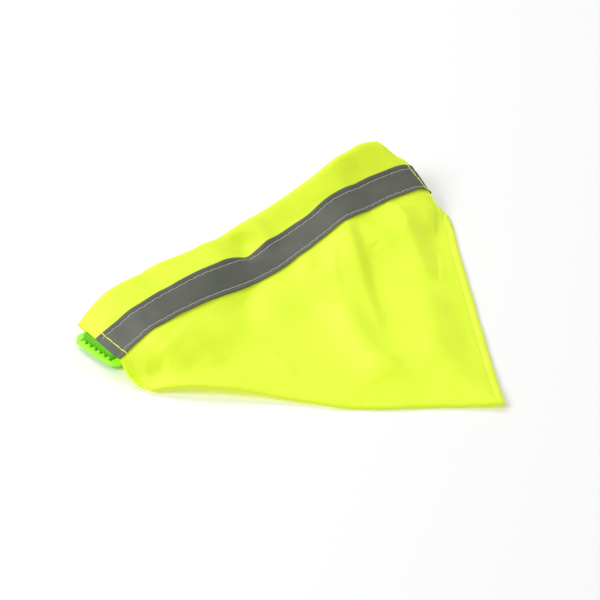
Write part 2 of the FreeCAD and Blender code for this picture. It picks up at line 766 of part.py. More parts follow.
def buckle_socket():
    body = body_at_buckle("buckle_socket")
    start = "Sizes.socket_start"
    end = "Sizes.socket_start + Sizes.socket_long"
    feature(body, "Pad", "shell", [middle(start, end, "Sizes.buckle_half")], "0", "Sizes.socket_high")
    socket_end = size("socket_start") + size("socket_long")
    local = body.Tip.Shape
    rounded(body, "shell_corners", corner_edges(local, socket_end, size("buckle_half")), 2.5)
    cavity = middle(f"{start} - {FREE}", f"{start} + Sizes.cavity_long", "Sizes.cavity_half")
    feature(body, "Pocket", "cavity", [cavity], "Sizes.cavity_low", "Sizes.cavity_high")
    window_end = "Sizes.window_start + Sizes.window_long"
    windows = both_sides(
        "Sizes.window_start", window_end, f"Sizes.cavity_half - {FREE}", f"Sizes.buckle_half + {FREE}"
    )
    feature(body, "Pocket", "windows", windows, "Sizes.cavity_low", "Sizes.cavity_high")
    slot_start = "Sizes.anchor_slot_start"
    slot_end = "Sizes.anchor_slot_start + Sizes.anchor_slot"
    slot = middle(slot_start, slot_end, "Sizes.slot_half")
    feature(body, "Pocket", "webbing_slot", [slot], f"-{FREE}", f"Sizes.socket_high + {FREE}")
    bar = middle(slot_end, f"{end} + {FREE}", "Sizes.slot_half")
    feature(body, "Pocket", "below_bar", [bar], f"-{FREE}", "Sizes.anchor_bar_low")
    feature(body, "Pocket", "above_bar", [bar], "Sizes.anchor_bar_high", f"Sizes.socket_high + {FREE}")
    return body


def buckle_clip():
    body = body_at_buckle("buckle_clip")
    side = [
        ("Sizes.ladder_long", "Sizes.clip_half"),
        ("Sizes.bar_bow + 0.8 * Sizes.corner_cut", "Sizes.clip_half"),
        ("Sizes.bar_bow", "Sizes.clip_half - 0.8 * Sizes.corner_cut"),
        ("0.3 * Sizes.bar_bow", "0.5 * Sizes.clip_half"),
        ("0", "0.2 * Sizes.clip_half"),
    ]
    ladder = side + [(x, f"-({y})") for x, y in side[::-1]]
    feature(body, "Pad", "ladder", [ladder], "Sizes.ladder_low", "Sizes.ladder_high")
    rims = rim_edges(body.Tip.Shape, size("ladder_low"), size("ladder_high"), size("ladder_long"))
    chamfered(body, "ladder_chamfer", rims, "Sizes.edge_chamfer")
    shoulder_end = "Sizes.ladder_long + Sizes.shoulder_long"
    shoulder = middle("Sizes.ladder_long - 0.3", shoulder_end, "Sizes.buckle_half")
    feature(body, "Pad", "shoulder", [shoulder], "0", "Sizes.shoulder_high")
    outer = middle("Sizes.bar_long", "Sizes.bar_long + Sizes.outer_slot", "Sizes.slot_half")
    bar_end = "Sizes.bar_long + Sizes.outer_slot + Sizes.middle_bar"
    inner = middle(bar_end, "Sizes.ladder_long", "Sizes.slot_half")
    over = f"Sizes.shoulder_high + {FREE}"
    feature(body, "Pocket", "webbing_slots", [outer, inner], f"-{FREE}", over)
    bar = middle("Sizes.bar_long + Sizes.outer_slot - 0.1", f"{bar_end} + 0.1", "Sizes.slot_half")
    feature(body, "Pocket", "below_bar", [bar], f"-{FREE}", "Sizes.middle_bar_low")
    feature(body, "Pocket", "above_bar", [bar], "Sizes.middle_bar_high", over)
    tongue = middle(f"{shoulder_end} - 0.5", "Sizes.tongue_end", "Sizes.tongue_half")
    feature(body, "Pad", "tongue", [tongue], "Sizes.arm_low", "Sizes.arm_high")
    teeth = []
    for n in range(TEETH):
        low = f"(({n} - {(TEETH - 1) / 2}) * Sizes.tooth_pitch - Sizes.tooth_wide / 2)"
        high = f"({low} + Sizes.tooth_wide)"
        teeth.append(("Sizes.bar_long - 0.2", "Sizes.bar_long + Sizes.tooth_deep", low, high))
    tooth_top = "Sizes.ladder_high + 0.3"
    feature(body, "Pad", "teeth", teeth, f"{tooth_top} - Sizes.tooth_high", tooth_top)
    return body


def clip_arm(name, side):
    """A flexible arm with the catch pad that one squeezes; side is 1 towards the fold, else -1."""
    body = body_at_buckle(name)
    root = "Sizes.ladder_long + Sizes.shoulder_long + 0.1"
    outer = "(Sizes.arm_inner + Sizes.arm_thick)"

    def across(low, high):
        return (low, high) if side > 0 else (f"-({high})", f"-({low})")

    arm = (root, "Sizes.arm_end", *across("Sizes.arm_inner", outer))
    feature(body, "Pad", "arm", [arm], "Sizes.arm_low", "Sizes.arm_high")
    pad = ("Sizes.pad_start", "Sizes.pad_end", *across(f"{outer} - 0.3", "Sizes.pad_reach"))
    feature(body, "Pad", "catch_pad", [pad], "Sizes.arm_low", "Sizes.arm_high")
    return body


buckle_socket()
buckle_clip()
clip_arm("clip_left_arm", 1)
clip_arm("clip_right_arm", -1)
doc.recompute()

# ---------------------------------------------------------------- checks and files

for item in doc.Objects:
    if "Invalid" in item.State or "Error" in item.State:
        raise RuntimeError(f"{item.Name} failed: {item.State}")

os.makedirs("parts", exist_ok=True)
total = FreeCAD.BoundBox()
for name, part in parts.items():
    shape = part.Shape
    if shape.isNull() or not shape.isValid() or not shape.Solids:
        raise RuntimeError(f"{name} has no valid shape")
    total.add(shape.BoundBox)
    shape.exportStep(f"parts/{name}.step")
    box = shape.BoundBox
    print(
        f"{name}: {len(shape.Solids)} solids, {shape.Volume:.1f} mm3, "
        f"x {box.XMin:.2f}..{box.XMax:.2f} y {box.YMin:.2f}..{box.YMax:.2f} z {box.ZMin:.2f}..{box.ZMax:.2f}"
    )
print("whole:", total)
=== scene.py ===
"""A hi-vis pet bandana collar: a folded cloth with a reflective tape, lying on its strap and buckle.

Shapes are given in millimetres, and put_mesh() turns them into metres.
"""

import math

import bmesh
import bpy
import numpy as np
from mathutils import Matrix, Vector, noise


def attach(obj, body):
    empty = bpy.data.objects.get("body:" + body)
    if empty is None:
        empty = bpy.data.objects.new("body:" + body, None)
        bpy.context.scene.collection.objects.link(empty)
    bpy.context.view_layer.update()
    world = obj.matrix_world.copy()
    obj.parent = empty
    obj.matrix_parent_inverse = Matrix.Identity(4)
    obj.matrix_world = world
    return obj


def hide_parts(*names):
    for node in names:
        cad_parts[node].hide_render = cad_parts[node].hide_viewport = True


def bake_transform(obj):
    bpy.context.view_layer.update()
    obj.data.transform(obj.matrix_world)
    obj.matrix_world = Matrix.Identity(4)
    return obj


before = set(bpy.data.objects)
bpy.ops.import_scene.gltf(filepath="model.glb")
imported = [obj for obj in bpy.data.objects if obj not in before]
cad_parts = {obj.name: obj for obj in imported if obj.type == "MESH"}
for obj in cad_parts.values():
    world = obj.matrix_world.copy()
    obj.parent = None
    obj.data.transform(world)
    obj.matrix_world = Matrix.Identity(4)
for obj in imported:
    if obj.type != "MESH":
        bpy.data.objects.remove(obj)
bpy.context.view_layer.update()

MM = 0.001

# ---- sizes of the lying cloth
LEFT_X = -70.0  # the two mouths
RIGHT_X = 72.4
LEFT_LOW_Y = 22.1  # the lower ends of the mouths
RIGHT_LOW_Y = 23.5
TIP_X = 4.0  # the point of the cloth
TIP_Y = -61.3
TAPE_LOW_Y = 37.4
TAPE_HIGH_Y = 48.8
TIP_SLOPE = 1.15  # of the side edges, at the point
CREST_Y = 57.5
CREST_ROOM = 2.4  # the least way from the crest to the fold's outermost line
PROFILE_STEP = 0.25
BACK_FOLD_Y = 55.5  # where the back layer starts
TAPE_WIDE = 12.5
CLOTH_THICK = 0.22
TAPE_THICK = 0.16
MOUTH_HEM = 2.2  # from an edge to its row of stitches
SIDE_HEM = 2.3
SIDE_LONG = 112.0  # from a mouth to the point
STITCH_PITCH = 3.7
FRONT_LOW_Z = 1.0
BACK_LOW_Z = 0.25

# heights at places along the fold
CREST_LINE = [
    (LEFT_X, 8.3), (-63, 11.4), (-55, 13.8), (-37, 13.9), (-15, 12.4), (-6, 11.7), (-1, 12.2),
    (11, 12.8), (23, 13.9), (35, 15.8), (47, 18.2), (59, 19.5), (RIGHT_X, 17.6),
]
TAPE_HIGH_LINE = [
    (LEFT_X, 7.0), (-63, 10.2), (-55, 12.0), (-27, 12.0), (-15, 10.7), (-8, 9.5), (-1, 9.1),
    (7, 8.5), (16, 9.5), (27, 10.4), (37, 12.6), (44, 13.2), (51, 11.9), (63, 11.8), (RIGHT_X, 12.9),
]
TAPE_LOW_LINE = [
    (LEFT_X, 5.2), (-63, 8.8), (-56, 10.8), (-39, 9.5), (-25, 7.8), (-15, 6.3), (-8, 5.4),
    (-1, 5.8), (11, 7.4), (27, 9.6), (37, 10.2), (45, 8.8), (57, 8.2), (RIGHT_X, 7.2),
]
# how far the tape lies below its sewn line, and how far the right mouth stands out, up the mouth
SLIDE_LINE = [
    (LEFT_X, 0.8), (-62, 2.0), (-52, 1.7), (-42, 0.9), (-26, 0.6), (-12, 0.7), (4, 1.6),
    (22, 1.4), (36, 0.4), (56, 0.2), (65, 1.5), (RIGHT_X, 4.3),
]
BULGE_LINE = [
    (23, -1.3), (26, 0.2), (29, 2.0), (32, 3.7), (36, 5.3), (44, 6.5), (48, 6.6), (53, 3.8),
    (57, 1.2), (61, 0.6),
]
# the y where the front layer leaves the back one, and the y of the fold's outermost line
LIFT_OFF_LINE = [
    (LEFT_X, 28.5), (-64, 20.0), (-50, 13.0), (-31, 9.0), (-1, 5.0), (39, 8.0), (RIGHT_X, 22.0),
]
FOLD_OUTER_LINE = [
    (LEFT_X, 58.9), (-59, 61.2), (-49, 62.0), (-20, 61.8), (20, 61.4), (60, 61.8), (RIGHT_X, 60.6),
]
# how far the left side edge bows out, at shares of the way from the point to the mouth
SIDE_BOW_LINE = [
    (0.0, 0.0), (0.19, 1.8), (0.42, 5.4), (0.5, 5.6), (0.56, 3.9), (0.65, 2.1), (0.74, 0.7),
    (0.88, 0.1), (1.0, 0.0),
]
RIGHT_BOW = 1.0  # the right side edge bows out only near its mouth
RIGHT_BOW_X = 67.0
RIGHT_BOW_LONG = 4.5
# heights of the back layer, where the strap holds it up, and of its join to the fold
BACK_LINE = [
    (LEFT_X, 4.9), (-60, 6.6), (-56, 6.85), (-33, 6.85), (-24, 4.0), (-18, 2.1), (RIGHT_X, 2.1),
]
FOLD_BASE_LINE = [
    (LEFT_X, 7.0), (-65, 7.0), (-56, 6.85), (-33, 6.85), (-24, 4.0), (-18, 2.1), (RIGHT_X, 2.1),
]
FOLD_BASE_LOW_Y = 47.5
BACK_LIFT_LOW_Y = 28.5
BACK_LIFT_HIGH_Y = 37.6
# how far the sewn side edges stand off the floor
EDGE_LIFT_LINE = [
    (LEFT_X, 0.8), (-66.5, 2.2), (-60, 3.5), (-51, 2.6), (-44, 1.5), (-37, 0.6), (-30, 0.1),
    (-7, 0.2), (4, 1.3), (15, 0.3), (30, 0.0), (RIGHT_X, 0.0),
]


def ease(share):
    """From 0 to 1 with a level start and end."""
    return share * share * (3 - 2 * share)


def smooth(knots, at):
    """A smooth curve through knots that never overshoots them, at each place of an array."""
    x = np.array([k[0] for k in knots], float)
    z = np.array([k[1] for k in knots], float)
    steps = np.diff(z) / np.diff(x)
    slopes = np.zeros(len(x))
    slopes[0] = steps[0]
    slopes[-1] = steps[-1]
    for n in range(1, len(x) - 1):
        before, after = steps[n - 1], steps[n]
        if before * after > 0:
            slopes[n] = 2 * before * after / (before + after)
    at = np.clip(np.asarray(at, float), x[0], x[-1])
    n = np.clip(np.searchsorted(x, at) - 1, 0, len(x) - 2)
    span = x[n + 1] - x[n]
    far = (at - x[n]) / span
    rest = 1 - far
    return (
        z[n] * (1 + 2 * far) * rest**2
        + slopes[n] * span * far * rest**2
        + z[n + 1] * far**2 * (3 - 2 * far)
        - slopes[n + 1] * span * far**2 * rest
    )


def edge_y(x):
    """The y of the cloth's side edge at a place along the fold."""
    if x < TIP_X:
        share = (TIP_X - x) / (TIP_X - LEFT_X)
        return TIP_Y + (LEFT_LOW_Y - TIP_Y) * share - float(smooth(SIDE_BOW_LINE, share))
    straight = TIP_Y + (RIGHT_LOW_Y - TIP_Y) * (x - TIP_X) / (RIGHT_X - TIP_X)
    return straight - RIGHT_BOW * math.exp(-(((x - RIGHT_BOW_X) / RIGHT_BOW_LONG) ** 2))


def edge_stretch(x):
    """How much longer a step across the fold is than its distance from the side edge."""
    slope = (edge_y(x + 0.5) - edge_y(x - 0.5)) if abs(x - TIP_X) > 1 else TIP_SLOPE
    return math.hypot(1, slope)


def front_profile(x):
    """Fine (y, z) line of the front layer, from its edge up to the crest."""
    outer = float(smooth(FOLD_OUTER_LINE, x)) - CLOTH_THICK / 2
    crest_y = min(CREST_Y, outer - CREST_ROOM)
    knots = [
        (TIP_Y - 1, FRONT_LOW_Z),
        (float(smooth(LIFT_OFF_LINE, x)), FRONT_LOW_Z),
        (TAPE_LOW_Y, float(smooth(TAPE_LOW_LINE, x))),
        (TAPE_HIGH_Y, float(smooth(TAPE_HIGH_LINE, x))),
        (crest_y, float(smooth(CREST_LINE, x))),
    ]
    low = edge_y(x)
    y = np.linspace(low, crest_y, max(20, int((crest_y - low) / PROFILE_STEP)))
    slope = (knots[-1][1] - knots[-2][1]) / (knots[-1][0] - knots[-2][0])
    return np.stack([y, smooth(knots, y)], 1), slope, outer


def fold_profile(x, slope, outer, start):
    """The fold: a tight curve from the crest round to the back layer."""
    bottom = float(smooth(FOLD_BASE_LINE, x))
    y0, top = start
    reach = (8 * outer - y0 - BACK_FOLD_Y) / 6  # so that the curve's middle comes to the outermost line
    corners = np.array([
        (y0, top),
        (reach, top + slope * (reach - y0)),
        (reach + 0.2, bottom - 0.2),
        (BACK_FOLD_Y, bottom),
    ])
    share = np.linspace(0, 1, 60)[:, None]
    rest = 1 - share
    return (
        rest**3 * corners[0]
        + 3 * rest**2 * share * corners[1]
        + 3 * rest * share**2 * corners[2]
        + share**3 * corners[3]
    )


def back_profile(x):
    """Fine (y, z) line of the back layer, from the fold down to the edge."""
    low = edge_y(x)
    y = np.linspace(BACK_FOLD_Y, low, 260)
    share = np.clip((y - BACK_LIFT_LOW_Y) / (BACK_LIFT_HIGH_Y - BACK_LIFT_LOW_Y), 0, 1)
    share = (1 - np.cos(np.pi * share)) / 2
    z = BACK_LOW_Z + (float(smooth(BACK_LINE, x)) - BACK_LOW_Z) * share
    share = np.clip((y - FOLD_BASE_LOW_Y) / (BACK_FOLD_Y - FOLD_BASE_LOW_Y), 0, 1)
    z += float(smooth(FOLD_BASE_LINE, x) - smooth(BACK_LINE, x)) * ease(share)
    return np.stack([y, z], 1)


def lengths(line):
    """Distance along a line of points, at each point."""
    return np.concatenate([[0], np.cumsum(np.linalg.norm(np.diff(line, axis=0), axis=1))])


def at_lengths(line, wanted):
    """Points of a line at given distances along it."""
    along = lengths(line)
    return np.stack([np.interp(wanted, along, line[:, k]) for k in range(line.shape[1])], 1)


# ---- the cloth's grid
# distances of the grid's rows from the side edge, and from the tape's lower edge
HEM_ROWS = [0.0, 0.25, 0.6, 1.0, 1.4, 1.8, 2.1, SIDE_HEM, 2.5, 2.8, 3.3, 4.2, 5.4]
TAPE_ROWS = [0.0, 0.45, 1.0, 1.4, 1.8, 2.2, 2.8] + [3.5 + 0.92 * n for n in range(7)] + [
    9.7, 10.3, 10.7, 11.1, 11.5, 12.05, TAPE_WIDE,
]
FRONT_ROWS = 100
FOLD_ROWS = 44
BACK_ROWS = 60
TAPE_FIRST = len(HEM_ROWS) + FRONT_ROWS - 1

MOUTH_COLUMNS = [0.0, 0.2, 0.5, 1.0, 1.4, 1.8, MOUTH_HEM, 2.8, 3.5, 4.4, 5.2]


def columns():
    """Places along the fold, closer together at the mouths and at the point."""
    left = [LEFT_X + c for c in MOUTH_COLUMNS]
    right = [RIGHT_X - c for c in MOUTH_COLUMNS][::-1]
    start, end = left[-1], right[0]
    first = np.linspace(start, TIP_X - 1.0, 88)[1:]
    last = np.linspace(TIP_X + 1.0, end, 84)[:-1]
    middle = [TIP_X - 0.4, TIP_X, TIP_X + 0.4]
    return np.array(left + list(first) + middle + list(last) + right)


def column_points(x):
    """One column of the cloth: (y, z) and the length along the cloth for each row."""
    stretch = edge_stretch(x)
    front, slope, outer = front_profile(x)
    along = lengths(front)
    tape_low = float(np.interp(TAPE_LOW_Y, front[:, 0], along))
    hem = np.array(HEM_ROWS) * stretch
    plain = np.linspace(hem[-1], tape_low, FRONT_ROWS)[1:]
    over = np.concatenate([front, fold_profile(x, slope, outer, front[-1])[1:]])
    over_along = lengths(over)
    tape = tape_low + np.array(TAPE_ROWS)[1:]
    fold = np.linspace(tape[-1], over_along[-1], FOLD_ROWS)[1:]
    front_rows = np.concatenate([hem, plain, tape, fold])
    points = at_lengths(over, front_rows)
    back = back_profile(x)
    back_along = lengths(back)
    back_hem = back_along[-1] - hem[::-1]
    back_rows = np.linspace(0, back_hem[0], BACK_ROWS)[1:-1]
    back_rows = np.concatenate([back_rows, back_hem[:-1]])
    back_points = at_lengths(back, back_rows)
    cut = np.concatenate([front_rows - tape_low, over_along[-1] - tape_low + back_rows])
    return np.concatenate([points, back_points]), cut


X = columns()
rows = [column_points(x) for x in X]
GRID = np.stack([
    np.concatenate([np.full((len(points), 1), x), points], 1) for x, (points, _) in zip(X, rows)
])  # column, row, xyz
CUT = np.stack([cut for _, cut in rows])  # distance along the cloth, from the tape's lower edge
N_COLS, N_ROWS = GRID.shape[:2]
LAST_FRONT = len(HEM_ROWS) + FRONT_ROWS - 1 + len(TAPE_ROWS) - 1 + FOLD_ROWS - 1  # first row of the back


def side_distance(x, y):
    """Distance in plan from the nearer side edge of the cloth, and the place along that side."""
    edge = np.array([edge_y(place) for place in X])
    result = []
    for side in (X <= TIP_X, X >= TIP_X):
        path = list(zip(X[side][::3], edge[side][::3])) + [(TIP_X, TIP_Y)] * int(side[0])
        signed, share = from_path(x, y, [p for n, p in enumerate(path) if n == 0 or p != path[n - 1]])
        result.append((np.abs(signed), share * SIDE_LONG))
    (left, left_far), (right, right_far) = result
    return np.where(left < right, left, right), np.where(left < right, left_far, right_far)


def from_path(x, y, path):
    """For each place in plan: its distance from a path, signed by side, and its share of the way along."""
    best = np.full(x.shape, 1e9)
    signed = np.zeros(x.shape)
    share = np.zeros(x.shape)
    spans = [math.hypot(b[0] - a[0], b[1] - a[1]) for a, b in zip(path, path[1:])]
    total = sum(spans)
    done = 0.0
    for (x0, y0), (x1, y1), span in zip(path, path[1:], spans):
        ux, uy = (x1 - x0) / span, (y1 - y0) / span
        raw = (x - x0) * ux + (y - y0) * uy
        far = np.clip(raw, 0, span)
        away = np.hypot(x - x0 - far * ux, y - y0 - far * uy)
        side = np.sign((x - x0) * uy - (y - y0) * ux)
        nearer = away < best
        best = np.where(nearer, away, best)
        signed = np.where(nearer, away * side, signed)
        share = np.where(nearer, (done + far) / total, share)
        done += span
    return signed, share


def crease(x, y, path, height, wide, other, fade):
    """A ridge, or a valley where height is negative: wide on the path's right, other on its left."""
    signed, share = from_path(x, y, path)
    width = np.where(signed > 0, wide, other)
    across = np.exp(-(np.abs(signed / width) ** 1.8))
    along = np.ones(x.shape)
    for way, fading in zip((share, 1 - share), fade):
        if fading:
            along = along * np.clip(way / fading, 0, 1)
    return height * across * ease(along)


def ripple(x, y, size, seed):
    """Smooth unevenness from -1 to 1, the same at each run."""
    flat = np.stack([x.ravel(), y.ravel()], 1) / size
    values = [noise.noise(Vector((a, b, seed))) for a, b in flat]
    return np.array(values).reshape(x.shape)


# ---- what the cloth does as it lies
FRONT_CREASES = [
    # path in plan, height, width on its right, width on its left, and the share that fades at each end
    # the long step down to the right, and the hollow beside it
    ([(35, 42), (30, 34), (23, 22.5), (15, 11), (7, -1), (0, -11), (-5, -18)], 1.6, 9.5, 3.0, (0.03, 0.35)),
    ([(40, 40), (33, 29), (26, 18), (17, 6), (8, -7)], -0.6, 2.6, 5.0, (0.05, 0.3)),
    # the ridge right of the hollow, with its own dark side
    ([(58, 37), (52, 26), (45.5, 16), (39.5, 7.5), (32, -4)], 1.8, 7.5, 5.0, (0.12, 0.25)),
    ([(66, 24), (58, 10), (49, -4)], -0.4, 6.0, 8.0, (0.3, 0.4)),
    # the big ridge in front, sharp on its right
    ([(9, 16), (3.5, 8.5), (-1.5, 2), (-5, -5), (-8, -12), (-9.5, -19), (-10, -28), (-12, -34)],
     2.6, 7.0, 5.2, (0.25, 0.25)),
    # the hollow's far side, which turns back towards the big ridge
    ([(32, 0), (25, -8), (20, -14), (14, -21), (6, -28), (-3, -34), (-10, -38)], 1.5, 7.5, 6.5, (0.2, 0.4)),
    # small folds of a cloth that has lain folded
    ([(15, 3), (23, -3), (31, -10), (38, -14)], -0.3, 0.9, 2.2, (0.1, 0.1)),
    ([(36, -4), (44, 3), (52, 11)], -0.3, 0.9, 2.4, (0.2, 0.3)),
    ([(28, -14), (33, -22), (36, -28)], -0.28, 0.8, 2.2, (0.2, 0.3)),
    ([(54, 40), (55, 36), (54, 28), (46, 20)], 0.3, 1.0, 2.0, (0.1, 0.3)),
    ([(29.5, 22.5), (37, 23.5)], -0.4, 1.0, 1.0, (0.3, 0.3)),
    ([(71, 30.5), (66, 25.5), (58, 17.5)], 1.3, 4.5, 0.9, (0.5, 0.3)),
    ([(10, 37), (9, 33), (7, 28)], 0.6, 3.0, 2.4, (0.0, 0.5)),
    ([(22, 34), (17, 27), (12, 21), (6, 12)], 0.35, 3.0, 0.8, (0.2, 0.2)),
    ([(-31, 9), (-31, 4), (-33, -5)], 0.35, 2.4, 0.9, (0.3, 0.05)),
    ([(-33, -4), (-36, -5.5), (-41, -6)], 0.3, 1.6, 0.9, (0.1, 0.5)),
    ([(24, -34), (20, -41), (12, -45)], 0.4, 3.0, 3.0, (0.2, 0.3)),
    ([(22, -28), (18, -38), (12, -48)], -0.4, 2.2, 2.2, (0.2, 0.2)),
    # below the tape: the hollow that carries on from the sleeve's fold
    ([(-15, 37), (-19, 33), (-25, 25), (-33, 16)], -1.8, 7.5, 5.0, (0.0, 0.5)),
    ([(-3, 36), (-11, 25), (-21, 12)], 0.5, 6.0, 6.0, (0.1, 0.5)),
    # the dimple by the left mouth, and the ridges beside it
    ([(-68.5, 27.0), (-65.5, 25), (-62, 22.8)], -2.3, 2.4, 2.4, (0.35, 0.35)),
    ([(-61, 31), (-58.5, 25), (-57, 18)], 0.5, 3.0, 4.0, (0.2, 0.3)),
    ([(-53, 34), (-50, 27), (-48, 19), (-47, 11)], 0.9, 6.0, 7.0, (0.2, 0.3)),
]
SLEEVE_CREASES = [
    ([(-7, 45), (-4, 50), (-1, 54), (1, 58)], -2.4, 4.6, 4.6, (0.42, 0.3)),
    ([(-16, 47), (-13, 56), (-12, 61)], 0.5, 4.0, 5.2, (0.25, 0.1)),
    ([(4, 46), (7, 53), (9, 60)], 1.0, 4.4, 4.0, (0.3, 0.2)),
    ([(22, 49), (23, 55), (24, 60)], -0.6, 4.4, 4.4, (0.3, 0.2)),
    ([(36, 50), (38, 56), (39, 60)], 0.5, 5.0, 5.0, (0.3, 0.2)),
    ([(55, 50), (57, 56), (57, 62)], -0.8, 4.4, 4.4, (0.3, 0.1)),
    ([(-45, 50), (-41, 57), (-39, 62)], -0.7, 6.0, 5.0, (0.3, 0.1)),
    ([(-62, 50), (-61, 56), (-60, 60)], 0.4, 3.0, 4.0, (0.3, 0.1)),
]


def normals_of(grid):
    """Unit normals of a grid, pointing out of the folded cloth."""
    along = np.gradient(grid, axis=0)
    up = np.gradient(grid, axis=1)
    out = np.cross(along, up)
    return out / np.linalg.norm(out, axis=2)[:, :, None]


PUFF = 2.5  # how far the front layer stands off the back one
PUFF_SWELL = 17.0  # over this distance from the side edges
PUFF_FREE = 16.0  # and over this distance below the tape
FRONT_GAP = 0.35  # the least room between the layers' middle surfaces
SOFT_GAP = 0.6  # a front layer nearer than this comes to rest gently
SETTLE_FROM = 1.5  # creases begin this far from the side edges
SETTLE_LONG = 9.0  # and are full this much further in
TAPE_STIFF = 0.25  # the share of a crease that stays where the tape is sewn on
RIPPLES = [(0.45, 17.0, 3.1), (0.16, 7.0, 8.4), (0.04, 2.6, 1.7)]  # height, size, seed

# the cloth next to the tape slides with it: below it over this length, above it over this share of the fold
SLIDE_BELOW = 14.0
SLIDE_FADE_Y = TAPE_LOW_Y - 15
SLIDE_ABOVE = 0.42

BULGE_LONG = 15.0  # how far in from the right mouth its bulge begins
# the right mouth's hem turns down over this length, with this radius, at places up the mouth
CURL_LONG_LINE = [(22, 3.2), (38, 6.5), (50, 6.5), (57, 3.6), (62, 3.6)]
CURL_RADIUS_LINE = [(22, 2.6), (38, 4.5), (50, 4.5), (57, 2.5), (62, 2.5)]
CURL_LOW_Z = 1.6  # it turns down fully where it stands higher than this by CURL_ROOM
CURL_ROOM = 3.0

# the left mouth stands up and leans out over the strap by this much
LEAN_LINE = [(27, 0.0), (33, 1.0), (37, 1.6), (43, 1.6), (48, 1.1), (54, 0.3), (57, 0.0)]
LEAN_LONG = 8.0

# the back layer is drawn in where the strap comes through each mouth
WINDOW_LOW_Y = 36.5
WINDOW_LOW_FADE = 3.0
WINDOW_HIGH_Y = 60.5
WINDOW_HIGH_FADE = 3.5
LEFT_DRAWN_IN = 20.5  # as much as this, growing from a place over a length
LEFT_DRAWN_X = -38
LEFT_DRAWN_LONG = 32
RIGHT_DRAWN_IN = 8.5
RIGHT_DRAWN_X = 50
RIGHT_DRAWN_LONG = 22.4
DRAWN_CURVE = 1.3

# below the strap it shows outside the left mouth by this much, between these places
BACK_FLAP = 1.3
FLAP_LOW_Y = 23.0
FLAP_HIGH_Y = 38.0
FLAP_FADE = 4.0
FLAP_X = -62
FLAP_LONG = 8

EDGE_REACH = 13.0  # how far in from the side edges their rise and fall is felt
HEM_RAISE = 0.18
HEM_GROOVE = 0.16  # how deep the side stitches draw the cloth in, and how much more at each stitch
HEM_PUCKER = 0.1
GROOVE_WIDE = 0.55
FLOOR_GAP = 0.13  # the least height of the cloth's middle surface


def slide_down(x, y):
    """The tape, and the cloth next to it, lies a little further from the fold than its sewn line."""
    rows = np.arange(LAST_FRONT)
    tape_last = TAPE_FIRST + len(TAPE_ROWS) - 1
    past = np.clip((rows - tape_last) / (SLIDE_ABOVE * FOLD_ROWS), 0, 1)
    above = np.where(rows > tape_last, 0.5 + 0.5 * np.cos(np.pi * past), 1.0)[None, :]
    before = np.clip((y[:, :LAST_FRONT] - SLIDE_FADE_Y) / SLIDE_BELOW, 0, 1)
    before = np.where(rows[None, :] >= TAPE_FIRST, 1.0, ease(before))
    y[:, :LAST_FRONT] -= smooth(SLIDE_LINE, x[:, :LAST_FRONT]) * above * before


def curl_right_mouth(x, y, z):
    """The right mouth stands out in the middle, and its hem turns down towards the strap."""
    grid = np.stack([x, y, z], 2)[:, :LAST_FRONT]
    out = normals_of(grid)
    near = np.clip((grid[:, :, 0] - (RIGHT_X - BULGE_LONG)) / BULGE_LONG, 0, 1)
    bulge = near * near * smooth(BULGE_LINE, grid[:, :, 1])
    long = smooth(CURL_LONG_LINE, grid[:, :, 1])
    radius = smooth(CURL_RADIUS_LINE, grid[:, :, 1])
    turn = np.clip(grid[:, :, 0] - (RIGHT_X - long), 0, None) / radius
    room = np.clip((grid[:, :, 2] - CURL_LOW_Z) / CURL_ROOM, 0, 1)
    x[:, :LAST_FRONT] += bulge - room * radius * (turn - np.sin(turn))
    sink = room * radius * (1 - np.cos(turn))
    y[:, :LAST_FRONT] -= out[:, :, 1] * sink
    z[:, :LAST_FRONT] -= out[:, :, 2] * sink


def lean_left_mouth(x, y, z):
    """The front layer stands up at the left mouth and leans out over the strap and buckle."""
    near = np.clip((LEFT_X + LEAN_LONG - x[:, :LAST_FRONT]) / LEAN_LONG, 0, 1)
    lean = smooth(LEAN_LINE, y[:, :LAST_FRONT]) * near * near * (3 - 2 * near)
    x[:, :LAST_FRONT] -= lean
    y[:, :LAST_FRONT] -= lean
    z[:, :LAST_FRONT] += lean


def crease_front(x, y, z):
    """The front layer's creases, ripples and swell, all kept above the back layer."""
    fx, fy = x[:, :LAST_FRONT], y[:, :LAST_FRONT]
    rise = np.zeros(fx.shape)
    for path, height, wide, other, fade in FRONT_CREASES:
        rise += crease(fx, fy, path, height, wide, other, fade)
    sleeve = np.zeros(fx.shape)
    for path, height, wide, other, fade in SLEEVE_CREASES:
        sleeve += crease(fx, fy, path, height, wide, other, fade)
    rise += sum(height * ripple(fx, fy, size, seed) for height, size, seed in RIPPLES)
    away, _ = side_distance(fx, fy)
    settle = ease(np.clip((away - SETTLE_FROM) / SETTLE_LONG, 0, 1))
    under_tape = np.clip((TAPE_LOW_Y + 1.5 - fy) / 6.0, 0, 1)
    rise = rise * settle * (TAPE_STIFF + (1 - TAPE_STIFF) * under_tape)
    swell = ease(np.clip(away / PUFF_SWELL, 0, 1))
    free = ease(np.clip((TAPE_LOW_Y - fy) / PUFF_FREE, 0, 1))
    z[:, :LAST_FRONT] += rise + sleeve + PUFF * swell * free
    below = BACK_LOW_Z + FRONT_GAP + (smooth(BACK_LINE, fx) - BACK_LOW_Z) * np.clip(
        (fy - BACK_LIFT_LOW_Y) / (BACK_LIFT_HIGH_Y - BACK_LIFT_LOW_Y), 0, 1
    )
    over = z[:, :LAST_FRONT] - below
    gentle = SOFT_GAP * np.exp((over - SOFT_GAP) / SOFT_GAP)
    z[:, :LAST_FRONT] = below + np.where(over > SOFT_GAP, over, gentle)


